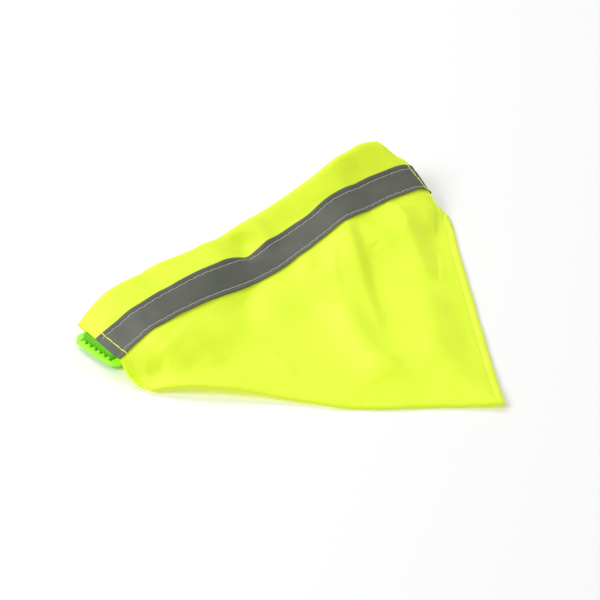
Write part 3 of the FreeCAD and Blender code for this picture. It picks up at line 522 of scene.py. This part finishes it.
def draw_in_back(x, y):
    """The back layer at both mouths: drawn in at the strap, and a little out below it at the left."""
    bx, by = x[:, LAST_FRONT:], y[:, LAST_FRONT:]
    window = np.clip((by - WINDOW_LOW_Y) / WINDOW_LOW_FADE, 0, 1)
    window = ease(window * np.clip((WINDOW_HIGH_Y - by) / WINDOW_HIGH_FADE, 0, 1))
    flap = np.clip((by - FLAP_LOW_Y) / FLAP_FADE, 0, 1) * np.clip((FLAP_HIGH_Y - by) / FLAP_FADE, 0, 1)
    bx = bx - BACK_FLAP * flap * np.clip((FLAP_X - bx) / FLAP_LONG, 0, 1)
    left = LEFT_DRAWN_IN * np.clip((LEFT_DRAWN_X - bx) / LEFT_DRAWN_LONG, 0, 1) ** DRAWN_CURVE
    right = RIGHT_DRAWN_IN * np.clip((bx - RIGHT_DRAWN_X) / RIGHT_DRAWN_LONG, 0, 1) ** DRAWN_CURVE
    x[:, LAST_FRONT:] = bx + window * (left - right)


def finish_side_edges(x, y, z):
    """The side edges' rise and fall, their sewn hem, and the two layers' meeting at the edge."""
    away, along = side_distance(x, y)
    left_side = 40 / (1 + np.exp((x - TIP_X + 6) / 3.0))  # keeps the two sides' ripples apart
    wavy = 0.35 * ripple(along, left_side, 9.0, 5.5) + 0.12 * ripple(along, left_side, 3.2, 2.5)
    wavy = np.clip(wavy + 0.12, 0, None)
    z += (smooth(EDGE_LIFT_LINE, x) + wavy) * np.exp(-((away / EDGE_REACH) ** 2))

    # stitches draw the hem in, and its turned edge is thicker
    hem_band = np.clip(1 - np.abs(away - SIDE_HEM / 2) / (SIDE_HEM / 2), 0, 1) ** 0.6
    pucker = 0.5 + 0.5 * np.cos(along * 2 * math.pi / STITCH_PITCH)
    groove = np.exp(-(((away - SIDE_HEM) / GROOVE_WIDE) ** 2)) * (HEM_GROOVE + HEM_PUCKER * pucker)
    z[:, :LAST_FRONT] += (HEM_RAISE * hem_band - groove)[:, :LAST_FRONT]

    meet = np.zeros(x.shape)
    count = len(HEM_ROWS)
    front_close = np.interp(HEM_ROWS, [0, 0.25, 0.6, 1.1], [1.0, 0.35, 0.1, 0.0])
    meet[:, :count] = front_close
    meet[:, N_ROWS - count + 1:] = front_close[1:][::-1]
    middle = (0.25 * z[:, 0] + 0.75 * z[:, -1])[:, None]
    return np.maximum(z + (middle - z) * meet, FLOOR_GAP)


def lay_cloth(grid):
    """The grid with its creases, mouths, hems and uneven edges."""
    x, y, z = grid[:, :, 0].copy(), grid[:, :, 1].copy(), grid[:, :, 2].copy()
    crease_front(x, y, z)
    slide_down(x, y)
    curl_right_mouth(x, y, z)
    lean_left_mouth(x, y, z)
    draw_in_back(x, y)
    return np.stack([x, y, finish_side_edges(x, y, z)], 2)


LAID = lay_cloth(GRID)
OUT = normals_of(LAID)


# ---- helpers that make objects
def add_object(name, data):
    made = bpy.data.objects.new(name, data)
    bpy.context.scene.collection.objects.link(made)
    return made


def put_mesh(name, points, faces, material, uv=None, sharp=False):
    """An object from points in millimetres; uv is one (u, v) for each point."""
    mesh = bpy.data.meshes.new(name)
    mesh.from_pydata([tuple(p * MM) for p in np.asarray(points, float)], [], faces)
    mesh.materials.append(material)
    if uv is not None:
        layer = mesh.uv_layers.new(name="weave")
        flat = np.asarray(uv, float)
        picked = flat[[loop.vertex_index for loop in mesh.loops]]
        layer.data.foreach_set("uv", picked.ravel())
    if not sharp:
        mesh.shade_smooth()
    mesh.update()
    return add_object(name, mesh)


def grid_faces(cols, count, closed=False):
    """The four-sided faces between neighbouring columns of points; closed joins last row to first."""
    faces = []
    last = count if closed else count - 1
    for i in range(cols - 1):
        for j in range(last):
            a = i * count + j
            b = i * count + (j + 1) % count
            faces.append((a, a + count, b + count, b))
    return faces


def apply_modifiers(piece):
    """The same object with its modifiers made part of its mesh."""
    depsgraph = bpy.context.evaluated_depsgraph_get()
    mesh = bpy.data.meshes.new_from_object(piece.evaluated_get(depsgraph), depsgraph=depsgraph)
    piece.modifiers.clear()
    piece.data = mesh
    return piece


def solid(piece, thick):
    """A sheet made thick, by half to each side."""
    wall = piece.modifiers.new("thickness", "SOLIDIFY")
    wall.thickness = thick * MM
    wall.offset = 0.0
    wall.use_even_offset = False
    return apply_modifiers(piece)


# ---- materials
class Paint:
    """A short way to write a node material."""

    def __init__(self, name, **surface):
        self.material = bpy.data.materials.new(name)
        self.material.use_nodes = True
        self.tree = self.material.node_tree
        self.surface(**surface)

    def surface(self, **values):
        """Sets the shader's sockets, whose names have _ for each space here."""
        shader = self.tree.nodes["Principled BSDF"]
        for socket, value in values.items():
            self.feed(shader.inputs[socket.replace("_", " ")], value)

    def node(self, kind, inputs=(), **settings):
        node = self.tree.nodes.new(kind)
        for key, value in settings.items():
            setattr(node, key, value)
        for socket, value in dict(inputs).items():
            self.feed(node.inputs[socket], value)
        return node

    def feed(self, socket, value):
        if isinstance(value, bpy.types.NodeSocket):
            self.tree.links.new(value, socket)
        else:
            socket.default_value = value

    def maths(self, operation, a, b=0.0, c=0.0):
        return self.node("ShaderNodeMath", {0: a, 1: b, 2: c}, operation=operation).outputs[0]

    def noise(self, where, scale, detail=2.0):
        made = self.node("ShaderNodeTexNoise", {"Vector": where, "Scale": scale, "Detail": detail})
        return made.outputs["Fac"]

    def ramp(self, value, stops):
        node = self.node("ShaderNodeValToRGB", {"Fac": value})
        elements = node.color_ramp.elements
        while len(elements) < len(stops):
            elements.new(0.5)
        for element, (place, colour) in zip(elements, stops):
            element.position = place
            element.color = colour
        return node.outputs["Color"]

    def mix(self, share, a, b):
        return self.node("ShaderNodeMix", {0: share, 6: a, 7: b}, data_type="RGBA").outputs[2]

    def clamp(self, value):
        return self.node("ShaderNodeClamp", {"Value": value}).outputs[0]

    def weave_place(self):
        return self.node("ShaderNodeUVMap", uv_map="weave").outputs["UV"]

    def place(self):
        return self.node("ShaderNodeTexCoord").outputs["Object"]

    def part(self, vector, axis):
        return self.node("ShaderNodeSeparateXYZ", {"Vector": vector}).outputs[axis]

    def half_wave(self, turns):
        """How far from zero the sine of half these turns is."""
        return self.maths("ABSOLUTE", self.maths("SINE", self.maths("MULTIPLY", turns, 0.5)))

    def blend(self, a, share_a, b, share_b):
        """The sum of a and b, each times its share."""
        return self.maths("ADD", self.maths("MULTIPLY", a, share_a), self.maths("MULTIPLY", b, share_b))

    def bump(self, height, strength, distance, below=None):
        inputs = {"Height": height, "Strength": strength, "Distance": distance}
        node = self.node("ShaderNodeBump", inputs)
        if below is not None:
            self.feed(node.inputs["Normal"], below)
        return node.outputs["Normal"]

    def plain_weave(self, where, pitch):
        """The height of threads that pass over and under each other."""
        u = self.maths("MULTIPLY", self.part(where, "X"), 2 * math.pi / pitch)
        v = self.maths("MULTIPLY", self.part(where, "Y"), 2 * math.pi / pitch)
        cos_u = self.maths("COSINE", self.maths("MULTIPLY", u, 0.5))
        cos_v = self.maths("COSINE", self.maths("MULTIPLY", v, 0.5))
        over = self.maths("MULTIPLY", self.maths("MULTIPLY", cos_u, cos_v), 4.0)
        over = self.clamp(self.maths("MULTIPLY_ADD", over, 0.5, 0.5))
        return self.node("ShaderNodeMix", {0: over, 2: self.half_wave(u), 3: self.half_wave(v)}).outputs[0]


def cloth_material():
    paint = Paint("hi_vis_cloth", IOR=1.5, Sheen_Weight=0.12, Sheen_Roughness=0.45)
    uv = paint.weave_place()
    height = paint.plain_weave(uv, 0.5)
    patch = paint.noise(uv, 0.06, 3.0)
    slub = paint.noise(uv, 1.3)
    # random broad patches of lighter and darker tone, following no fold or lamp
    patch_tone = paint.maths("MULTIPLY", paint.maths("SUBTRACT", patch, 0.5), 0.35)
    # painted highlight: the weave's raised threads (height) are coloured lighter, on top of the random slub
    # and patch tones
    tone = paint.maths("ADD", paint.blend(height, 0.2, slub, 0.6), patch_tone)
    colour = paint.ramp(tone, [
        (0.1, (0.47, 0.62, 0.008, 1)),
        (0.45, (0.53, 0.68, 0.014, 1)),
        (0.9, (0.60, 0.74, 0.026, 1)),
    ])
    # painted glow: the whole cloth glows a little in yellow-green, painted light for its fluorescence, and
    # where it faces down it glows brighter, painted light that stands in for the light coming through the
    # cloth and tints the floor's shade below
    upward = paint.part(paint.node("ShaderNodeNewGeometry").outputs["Normal"], "Z")
    under = paint.clamp(paint.maths("MULTIPLY_ADD", upward, -4.0, -2.6))
    paint.surface(
        Base_Color=colour,
        Roughness=paint.maths("MULTIPLY_ADD", slub, 0.12, 0.46),
        Sheen_Tint=(0.95, 1.0, 0.35, 1),
        # painted glow: fainter emission colour on top, brighter on the underside
        Emission_Color=paint.mix(under, (0.37, 0.44, 0.004, 1), (0.80, 0.80, 0.02, 1)),
        Emission_Strength=0.6,
        Normal=paint.bump(slub, 0.15, 0.0002, paint.bump(height, 0.2, 0.00008)),
    )
    return paint.material


def tape_material():
    paint = Paint("reflective_tape", IOR=1.4, Metallic=0.1)
    uv = paint.weave_place()
    beads = paint.node("ShaderNodeTexVoronoi", {"Vector": uv, "Scale": 5.5}).outputs["Distance"]
    grain = paint.noise(uv, 3.0, 4.0)
    broad = paint.noise(uv, 0.12)
    colour = paint.ramp(paint.blend(grain, 0.5, broad, 0.5), [
        (0.25, (0.082, 0.090, 0.072, 1)),
        (0.5, (0.104, 0.112, 0.090, 1)),
        (0.8, (0.138, 0.146, 0.120, 1)),
    ])
    fine = paint.bump(beads, 0.25, 0.00008)
    paint.surface(
        Base_Color=colour,
        Roughness=paint.maths("MULTIPLY_ADD", grain, 0.2, 0.45),
        Normal=paint.bump(paint.plain_weave(uv, 0.8), 0.2, 0.00008, fine),
    )
    return paint.material


def thread_material(name, dark, light, glow=0.0):
    paint = Paint(name, Roughness=0.55, Sheen_Weight=0.3)
    twist = paint.node("ShaderNodeTexWave", {"Vector": paint.place(), "Scale": 900.0, "Distortion": 1.5})
    twist = twist.outputs["Fac"]
    paint.surface(
        # painted shade and highlight: the twist's grooves, which the bump also makes, are coloured dark and
        # its crowns light
        Base_Color=paint.mix(twist, dark, light),
        # painted glow: with glow above zero the thread glows in its light colour
        Emission_Color=light,
        Emission_Strength=glow,
        Normal=paint.bump(twist, 0.5, 0.00006),
    )
    return paint.material


def webbing_material():
    paint = Paint("webbing", Roughness=0.75, IOR=1.4, Sheen_Weight=0.1)
    uv = paint.weave_place()
    across = paint.maths("MULTIPLY", paint.part(uv, "Y"), 2 * math.pi / 0.9)
    along = paint.maths("MULTIPLY", paint.part(uv, "X"), 2 * math.pi / 0.6)
    slant = paint.maths("ADD", along, paint.maths("MULTIPLY", paint.maths("SINE", across), 1.3))
    height = paint.maths("MULTIPLY", paint.half_wave(slant), paint.half_wave(across))
    # painted shade and highlight: the weave's hollows are coloured darker and its crowns lighter, following
    # the bump's height; the noise adds random tone
    colour = paint.ramp(paint.blend(height, 0.7, paint.noise(uv, 2.2, 3.0), 0.3), [
        (0.1, (0.08, 0.36, 0.002, 1)),
        (0.5, (0.15, 0.54, 0.004, 1)),
        (0.95, (0.23, 0.66, 0.010, 1)),
    ])
    paint.surface(Base_Color=colour, Normal=paint.bump(height, 0.4, 0.00012))
    return paint.material


def plastic_material():
    paint = Paint("buckle_plastic", IOR=1.49)
    cloud = paint.noise(paint.place(), 90.0, 3.0)
    grain = paint.noise(paint.place(), 1800.0)
    paint.surface(
        Base_Color=paint.ramp(cloud, [(0.3, (0.27, 0.74, 0.016, 1)), (0.7, (0.36, 0.82, 0.030, 1))]),
        Roughness=paint.maths("MULTIPLY_ADD", cloud, 0.12, 0.26),
        # painted glow: the plastic glows faintly green, painted light standing in for light scattered
        # through it
        Emission_Color=(0.24, 0.8, 0.01, 1),
        Emission_Strength=0.2,
        Subsurface_Weight=0.35,
        Subsurface_Radius=(0.3, 1.0, 0.15),
        Subsurface_Scale=0.002,
        Normal=paint.bump(grain, 0.12, 0.00005),
    )
    return paint.material


CLOTH = cloth_material()
TAPE = tape_material()
TAPE_THREAD = thread_material("tape_thread", (0.44, 0.39, 0.34, 1), (0.62, 0.56, 0.50, 1))
# the hem thread gets a painted glow, to match the cloth's painted glow
HEM_THREAD = thread_material("hem_thread", (0.60, 0.74, 0.03, 1), (0.74, 0.88, 0.09, 1), 0.22)
WEBBING = webbing_material()
WEBBING_THREAD = thread_material("webbing_thread", (0.25, 0.50, 0.02, 1), (0.42, 0.72, 0.05, 1))
PLASTIC = plastic_material()


# ---- the cloth
HEM_DEPTH = 0.42  # from the outer layer to the turned edge inside
HEM_INSIDE = [4.6, 3.4, 2.2, 1.2, 0.5, 0.15]  # columns of the turned edge, from its end to the mouth
HEM_GAP = 0.4  # the weave's place goes on past the mouth's turn by this much


def with_turned_mouths(grid, out):
    """The grid with each mouth's edge turned in and run back inside; also its columns' places."""
    first = X[0]
    last = X[-1]

    def layer(place, sink, shift=0.0):
        column = np.array([[np.interp(place, X, grid[:, j, k]) for k in range(3)] for j in range(N_ROWS)])
        normal = np.array([[np.interp(place, X, out[:, j, k]) for k in range(3)] for j in range(N_ROWS)])
        return column - normal * sink + np.array([shift, 0, 0])

    left = [layer(first + d, HEM_DEPTH) for d in HEM_INSIDE]
    left += [layer(first, HEM_DEPTH * 0.75, -0.08), layer(first, HEM_DEPTH * 0.3, -0.12)]
    right = [layer(last, HEM_DEPTH * 0.3, 0.12), layer(last, HEM_DEPTH * 0.75, 0.08)]
    right += [layer(last - d, HEM_DEPTH) for d in HEM_INSIDE[::-1]]
    left_u = [first - HEM_GAP - d for d in HEM_INSIDE] + [first - 0.3, first - 0.1]
    right_u = [last + 0.1, last + 0.3] + [last + HEM_GAP + d for d in HEM_INSIDE[::-1]]
    return np.concatenate([np.array(left), grid, np.array(right)]), left_u, right_u


def make_cloth():
    grid, left_u, right_u = with_turned_mouths(LAID, OUT)
    cols, count = grid.shape[:2]
    u = np.concatenate([left_u, X, right_u])
    cut = np.concatenate([np.repeat(CUT[:1], len(left_u), 0), CUT, np.repeat(CUT[-1:], len(right_u), 0)])
    uv = np.stack([np.repeat(u[:, None], count, 1), cut], 2).reshape(-1, 2)
    piece = put_mesh("cloth_shell", grid.reshape(-1, 3), grid_faces(cols, count, True), CLOTH, uv)
    return solid(piece, CLOTH_THICK)


cloth = make_cloth()
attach(cloth, "bandana")
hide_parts("bandana_cloth")


# ---- the reflective tape
TAPE_RISE = 0.34  # of the tape's middle surface above the cloth's
EDGE_RISE = 0.10  # its two edges stand up a little, and the lower one more and unevenly
LOW_EDGE_RISE = 0.22
LOW_EDGE_WAVES = 0.3
TAPE_SEAM = 1.8  # from its edges to its rows of stitches, which draw it down
SEAM_DEPTH = 0.10
SEAM_PUCKER = 0.05


def tape_grid():
    """The tape's middle surface, and its outward normals."""
    rows = np.arange(TAPE_FIRST, TAPE_FIRST + len(TAPE_ROWS))
    across = np.array(TAPE_ROWS)[None, :]
    along = np.repeat(X[:, None], len(rows), 1)
    from_edge = np.minimum(across, TAPE_WIDE - across)
    pucker = 0.5 + 0.5 * np.cos(along * 2 * math.pi / STITCH_PITCH)
    rise = TAPE_RISE + EDGE_RISE * np.exp(-(from_edge**2))
    rise = rise - np.exp(-(((from_edge - TAPE_SEAM) / 0.5) ** 2)) * (SEAM_DEPTH + SEAM_PUCKER * pucker)
    low_edge = np.exp(-((across / 1.3) ** 2))
    rise = rise + low_edge * (LOW_EDGE_RISE + LOW_EDGE_WAVES * ripple(along, along * 0, 6.0, 4.4))
    rise = rise + 0.06 * ripple(along, np.repeat(across, len(X), 0), 3.0, 6.6)
    return LAID[:, rows] + OUT[:, rows] * rise[:, :, None], OUT[:, rows]


TAPE_GRID, TAPE_OUT = tape_grid()


def make_tape():
    """The tape, with each end turned down over the mouth's edge."""
    cols, count = TAPE_GRID.shape[:2]
    ends = []
    for index, way in ((0, -1), (-1, 1)):
        column = TAPE_GRID[index]
        out = TAPE_OUT[index]
        shift = np.array([way * 0.22, 0, 0])
        ends.append((column + shift - out * 0.25, column + shift * 0.4 - out * 0.75))
    (left_a, left_b), (right_a, right_b) = ends
    grid = np.concatenate([[left_b, left_a], TAPE_GRID, [right_a, right_b]])
    u = np.concatenate([[X[0] - 1.0, X[0] - 0.4], X, [X[-1] + 0.4, X[-1] + 1.0]])
    across = np.repeat(np.array(TAPE_ROWS)[None, :], len(u), 0)
    uv = np.stack([np.repeat(u[:, None], count, 1), across], 2).reshape(-1, 2)
    piece = put_mesh("tape_strip", grid.reshape(-1, 3), grid_faces(cols + 4, count), TAPE, uv)
    return solid(piece, TAPE_THICK)


tape = make_tape()
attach(tape, "bandana")
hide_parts("reflective_tape")


# ---- the thread
STITCH_LONG = 3.66
STITCH_LIFT = 0.12
STITCH_STEPS = 10
MOUTH_SEAM_FIRST = 8  # rows between which a mouth's stitches run
MOUTH_SEAM_LAST = LAST_FRONT - 18
THREAD_RING = 8  # corners of a thread's section


def ring_faces(first, steps, flip):
    """A tube's faces from its first point's number, with both ends closed."""
    faces = []
    for k in range(steps):
        for r in range(THREAD_RING):
            a = first + k * THREAD_RING + r
            b = first + k * THREAD_RING + (r + 1) % THREAD_RING
            faces.append((a, a + THREAD_RING, b + THREAD_RING, b))
    last = first + steps * THREAD_RING
    faces.append(tuple(first + r for r in range(THREAD_RING)))
    faces.append(tuple(last + r for r in range(THREAD_RING))[::-1])
    return [face[::-1] for face in faces] if flip else faces


def stitches(name, points, out, material, thick, sway, seed):
    """A row of stitches along a line of points: each one rises from the cloth and dives back into it."""
    along = lengths(points)
    count = int((along[-1] - 0.4) / STITCH_PITCH)
    start = (along[-1] - count * STITCH_PITCH + STITCH_PITCH - STITCH_LONG) / 2
    shares = np.linspace(0, 1, STITCH_STEPS + 1)
    arch = np.sin(np.pi * shares) ** 0.5
    verts, faces = [], []
    for n in range(count):
        wanted = start + n * STITCH_PITCH + STITCH_LONG * shares
        wobble = noise.noise(Vector((n * 0.73, seed, 0))) * sway
        middles = at_lengths(points, wanted)
        normals = np.stack([np.interp(wanted, along, out[:, k]) for k in range(3)], 1)
        ways = np.gradient(middles, axis=0)
        ways /= np.linalg.norm(ways, axis=1)[:, None]
        sides = np.cross(ways, normals)
        middles = middles + normals * (arch * (STITCH_LIFT + thick) - thick * 0.9)[:, None]
        middles = middles + sides * ((shares - 0.5) * 2 * wobble)[:, None]
        faces += ring_faces(len(verts), STITCH_STEPS, True)
        for middle, normal, side in zip(middles, normals, sides):
            for r in range(THREAD_RING):
                angle = 2 * math.pi * r / THREAD_RING
                flat = 0.85 * normal * math.sin(angle) + 1.1 * side * math.cos(angle)
                verts.append(middle + flat * thick)
    return put_mesh(name, np.array(verts), faces, material)


def tape_line(across):
    """Points on the tape at one distance from its lower edge, and their normals."""
    row = TAPE_ROWS.index(across)
    grid = TAPE_GRID[:, row] + TAPE_OUT[:, row] * TAPE_THICK / 2
    keep = (X > LEFT_X + 0.6) & (X < RIGHT_X - 0.6)
    return grid[keep], TAPE_OUT[:, row][keep]


def mouth_line(place):
    """Points up the front layer and over the tape at one place along the fold, and their normals."""
    column = int(np.argmin(np.abs(X - place)))
    points = LAID[column, :LAST_FRONT].copy()
    out = OUT[column, :LAST_FRONT]
    rows = np.arange(TAPE_FIRST, TAPE_FIRST + len(TAPE_ROWS))
    points = points + out * CLOTH_THICK / 2
    points[rows] = TAPE_GRID[column] + TAPE_OUT[column] * TAPE_THICK / 2
    y = points[:, 1]
    number = np.arange(LAST_FRONT)
    keep = (number > MOUTH_SEAM_FIRST) & (number < MOUTH_SEAM_LAST) & (y < y.max() - 0.5)
    return points[keep], out[keep]


def side_line(low, high):
    """Points along the side hem between two places along the fold, and their normals."""
    row = HEM_ROWS.index(SIDE_HEM)
    keep = (X > low) & (X < high)
    return (LAID[:, row] + OUT[:, row] * CLOTH_THICK / 2)[keep], OUT[:, row][keep]


THREAD_KINDS = {  # material, thickness, sway of the stitches
    "tape_thread": (TAPE_THREAD, 0.13, 0.12),
    "hem_thread": (HEM_THREAD, 0.15, 0.24),
}
threads = [
    ("tape_upper_thread", "tape_upper_stitching", tape_line(TAPE_ROWS[-5]), "tape_thread"),
    ("tape_lower_thread", "tape_lower_stitching", tape_line(TAPE_SEAM), "tape_thread"),
    ("left_mouth_thread", "left_mouth_stitching", mouth_line(LEFT_X + MOUTH_HEM), "hem_thread"),
    ("right_mouth_thread", "right_mouth_stitching", mouth_line(RIGHT_X - MOUTH_HEM), "hem_thread"),
    ("left_side_thread", "left_side_stitching", side_line(LEFT_X + 2, TIP_X - 3), "hem_thread"),
    ("right_side_thread", "right_side_stitching", side_line(TIP_X + 3, RIGHT_X - 2), "hem_thread"),
]
for seed, (name, node, (points, out), slot) in enumerate(threads, 3):
    piece = stitches(name, points, out, *THREAD_KINDS[slot], seed)
    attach(piece, "bandana")
    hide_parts(node)


def make_loose_thread():
    """The end of the thread, which hangs from the left mouth's lower end to the floor."""
    radius = 0.13
    share = np.linspace(0, 1, 14)
    start = np.array([LEFT_X + 0.3, 26.3, 2.0])
    end = np.array([LEFT_X - 3.5, 27.2, 0.5])
    centres = start + (end - start) * share[:, None]
    centres[:, 1] += 0.35 * np.sin(np.pi * share)
    centres[:, 2] += 0.25 * np.sin(np.pi * share)
    ways = np.gradient(centres, axis=0)
    ways /= np.linalg.norm(ways, axis=1)[:, None]
    sides = np.cross(ways, np.array([0, 0, 1.0]))
    sides /= np.linalg.norm(sides, axis=1)[:, None]
    ups = np.cross(sides, ways)
    verts = []
    for centre, side, up in zip(centres, sides, ups):
        for r in range(THREAD_RING):
            angle = 2 * math.pi * r / THREAD_RING
            verts.append(centre + radius * (side * math.cos(angle) + up * math.sin(angle)))
    return put_mesh("loose_end", np.array(verts), ring_faces(0, len(centres) - 1, False), HEM_THREAD)


loose = make_loose_thread()
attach(loose, "bandana")
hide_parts("loose_thread_end")


# ---- the strap
STRAP_WIDE = 15.0
STRAP_THICK = 0.8
STRAP_Y = 49.4

# each run's corners as x, z and the radius of its bend
CLIP_LOOP = [
    (-53.4, 6.95, 0), (-59.2, 6.95, 1.5), (-61.2, 5.1, 1.5), (-69.55, 5.1, 0.9), (-69.55, 0.4, 0.9),
    (-43.4, 0.4, 0),
]
SLEEVE_RUN = [
    (-53.4, 6.95, 0), (-51.4, 6.95, 3), (-49.9, 7.8, 3), (-32.4, 7.8, 20), (-13.0, 3.9, 30),
    (5.0, 4.4, 30), (31.0, 8.4, 30), (53.8, 6.4, 20), (66.8, 6.4, 0),
]
RETURN_RUN = [
    (66.8, 6.4, 0), (70.8, 6.4, 3), (70.8, 0.4, 3), (-39.8, 0.4, 0.8), (-39.8, 4.65, 0.8),
    (-35.5, 4.65, 1), (-33.4, 1.3, 1), (-20.4, 1.3, 0),
]


def rounded_route(corners, step=0.8):
    """Points along a route of (x, z, bend radius), with each corner bent round."""
    spots = [np.array(corner[:2]) for corner in corners]
    points = [spots[0]]
    for n in range(1, len(spots) - 1):
        back = spots[n - 1] - spots[n]
        ahead = spots[n + 1] - spots[n]
        room = 0.49 * min(np.linalg.norm(back), np.linalg.norm(ahead))
        back /= np.linalg.norm(back)
        ahead /= np.linalg.norm(ahead)
        half = math.acos(float(np.clip(back @ ahead, -1, 1))) / 2
        reach = min(corners[n][2] / math.tan(half), room)
        start = spots[n] + back * reach
        end = spots[n] + ahead * reach
        for share in np.linspace(0, 1, 9):
            rest = 1 - share
            points.append(rest * rest * start + 2 * rest * share * spots[n] + share * share * end)
    points.append(spots[-1])
    line = np.array(points)
    count = max(2, int(lengths(line)[-1] / step))
    wanted = np.unique(np.concatenate([lengths(line), np.linspace(0, lengths(line)[-1], count)]))
    wanted = wanted[np.concatenate([[True], np.diff(wanted) > 0.05])]
    return at_lengths(line, wanted), wanted


def webbing(name, corners, seed):
    """A woven strap along a route: a flat section with rounded, slightly thicker edges."""
    line, along = rounded_route(corners)
    ways = np.gradient(line, axis=0)
    ways /= np.linalg.norm(ways, axis=1)[:, None]
    outs = np.stack([-ways[:, 1], ways[:, 0]], 1)
    half = STRAP_WIDE / 2
    across = np.linspace(-half + 0.35, half - 0.35, 17)
    crown = STRAP_THICK / 2 - 0.05 + 0.05 * np.exp(-(((half - np.abs(across)) / 1.0) ** 2))
    top = [(a, c) for a, c in zip(across, crown)]
    edge = [(half - 0.08, 0.2), (half, 0.0), (half - 0.08, -0.2)]
    section = top + edge + [(a, -c) for a, c in top[::-1]] + [(-a, -c) for a, c in edge]
    verts, uv = [], []
    for n, (spot, out, far) in enumerate(zip(line, outs, along)):
        uneven = 1 + 0.003 * noise.noise(Vector((far * 0.25, seed, 0)))
        for a, c in section:
            stand = spot + out * c
            verts.append((stand[0], STRAP_Y + a * uneven, stand[1]))
            uv.append((far, a))
    count = len(section)
    faces = grid_faces(len(line), count, True)
    faces.append(tuple(range(count)))
    last = (len(line) - 1) * count
    faces.append(tuple(last + k for k in range(count))[::-1])
    return put_mesh(name, verts, faces, WEBBING, uv)


for name, node, route, seed in (
    ("clip_loop_webbing", "strap_clip_loop", CLIP_LOOP, 1.0),
    ("sleeve_webbing", "strap_sleeve_run", SLEEVE_RUN, 2.0),
    ("return_webbing", "strap_return_run", RETURN_RUN, 3.0),
):
    piece = webbing(name, route, seed)
    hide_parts(node)
    if node == "strap_sleeve_run":
        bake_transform(piece)
    else:
        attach(piece, "clip" if node == "strap_clip_loop" else "collar")


# ---- the buckle
def moulded(name, node, wide):
    """The CAD shape with rounded edges, as an injection-moulded piece has."""
    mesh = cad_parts[node].data.copy()
    mesh.name = name
    shape = bmesh.new()
    shape.from_mesh(mesh)
    bmesh.ops.remove_doubles(shape, verts=shape.verts, dist=1e-7)
    bmesh.ops.dissolve_limit(shape, angle_limit=math.radians(1), verts=shape.verts, edges=shape.edges)
    shape.to_mesh(mesh)
    shape.free()
    mesh.materials.clear()
    mesh.materials.append(PLASTIC)
    piece = add_object(name, mesh)
    bevel = piece.modifiers.new("rounded", "BEVEL")
    bevel.width = wide * MM
    bevel.segments = 3
    bevel.limit_method = "ANGLE"
    bevel.angle_limit = math.radians(32)
    bevel.use_clamp_overlap = True
    apply_modifiers(piece)
    piece.data.shade_smooth()
    piece.data.set_sharp_from_angle(angle=math.radians(40))
    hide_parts(node)
    return piece


for name, node, body, wide in (
    ("socket_moulding", "buckle_socket", "collar", 0.3),
    ("clip_moulding", "buckle_clip", "clip", 0.3),
    ("left_arm_moulding", "clip_left_arm", "left_arm", 0.2),
    ("right_arm_moulding", "clip_right_arm", "right_arm", 0.2),
):
    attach(moulded(name, node, wide), body)


# ---- the floor, the lamps and the camera
FLOOR_HALF = 3000.0
FLOOR_Z = -0.05


def floor():
    white = (0.87, 0.87, 0.87, 1)
    paint = Paint("floor_white", Roughness=0.9, Base_Color=white, Specular_IOR_Level=0.0)
    corners = [(-1, -1), (1, -1), (1, 1), (-1, 1)]
    points = [(x * FLOOR_HALF, y * FLOOR_HALF, FLOOR_Z) for x, y in corners]
    put_mesh("floor", points, [(0, 1, 2, 3)], paint.material, sharp=True)


def aim(thing, place, target):
    thing.location = place
    thing.rotation_euler = (target - place).to_track_quat("-Z", "Y").to_euler()


def lamp(name, place, size, power):
    """A square lamp that points at the middle of the object."""
    data = bpy.data.lights.new(name, "AREA")
    data.shape = "RECTANGLE"
    data.size = size
    data.size_y = size
    data.energy = power
    aim(add_object(name, data), place, MIDDLE)


AZIMUTH = math.radians(-44.5)
ELEVATION = math.radians(36.0)
CAMERA_FAR = 0.644
RIGHTWARD = Vector((math.cos(AZIMUTH), math.sin(AZIMUTH), 0))
AWAY = Vector((-math.sin(AZIMUTH), math.cos(AZIMUTH), 0))
MIDDLE = Vector((-0.001, 0.0255, 0))


def staged(right, away, up):
    """A place from the middle of the object: to the camera's right, away from it and up, in metres."""
    return MIDDLE + RIGHTWARD * right + AWAY * away + Vector((0, 0, up))


floor()
lamp("key", staged(-0.85, -0.3, 0.75), 0.5, 7.0)
lamp("back", staged(-0.6, 0.7, 0.9), 0.6, 5.5)
lamp("fill", staged(0.7, -0.5, 0.9), 1.0, 0.6)
lamp("top", staged(0.1, 0.6, 1.15), 0.9, 2.2)

world = bpy.data.worlds.new("studio")
world.use_nodes = True
backdrop = world.node_tree.nodes["Background"].inputs
backdrop["Color"].default_value = (1, 1, 1, 1)
backdrop["Strength"].default_value = 0.52
bpy.context.scene.world = world

camera_data = bpy.data.cameras.new("camera")
camera_data.sensor_fit = "HORIZONTAL"
camera_data.angle = math.radians(18)
camera_data.clip_start = 0.01
camera = add_object("camera", camera_data)
aim(camera, staged(0, -CAMERA_FAR * math.cos(ELEVATION), CAMERA_FAR * math.sin(ELEVATION)), MIDDLE)
bpy.context.scene.camera = camera
bpy.context.scene.view_settings.view_transform = "Standard"

# ---- carried-over nodes
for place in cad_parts["strap_end_stitching"].material_slots:
    place.material = WEBBING_THREAD
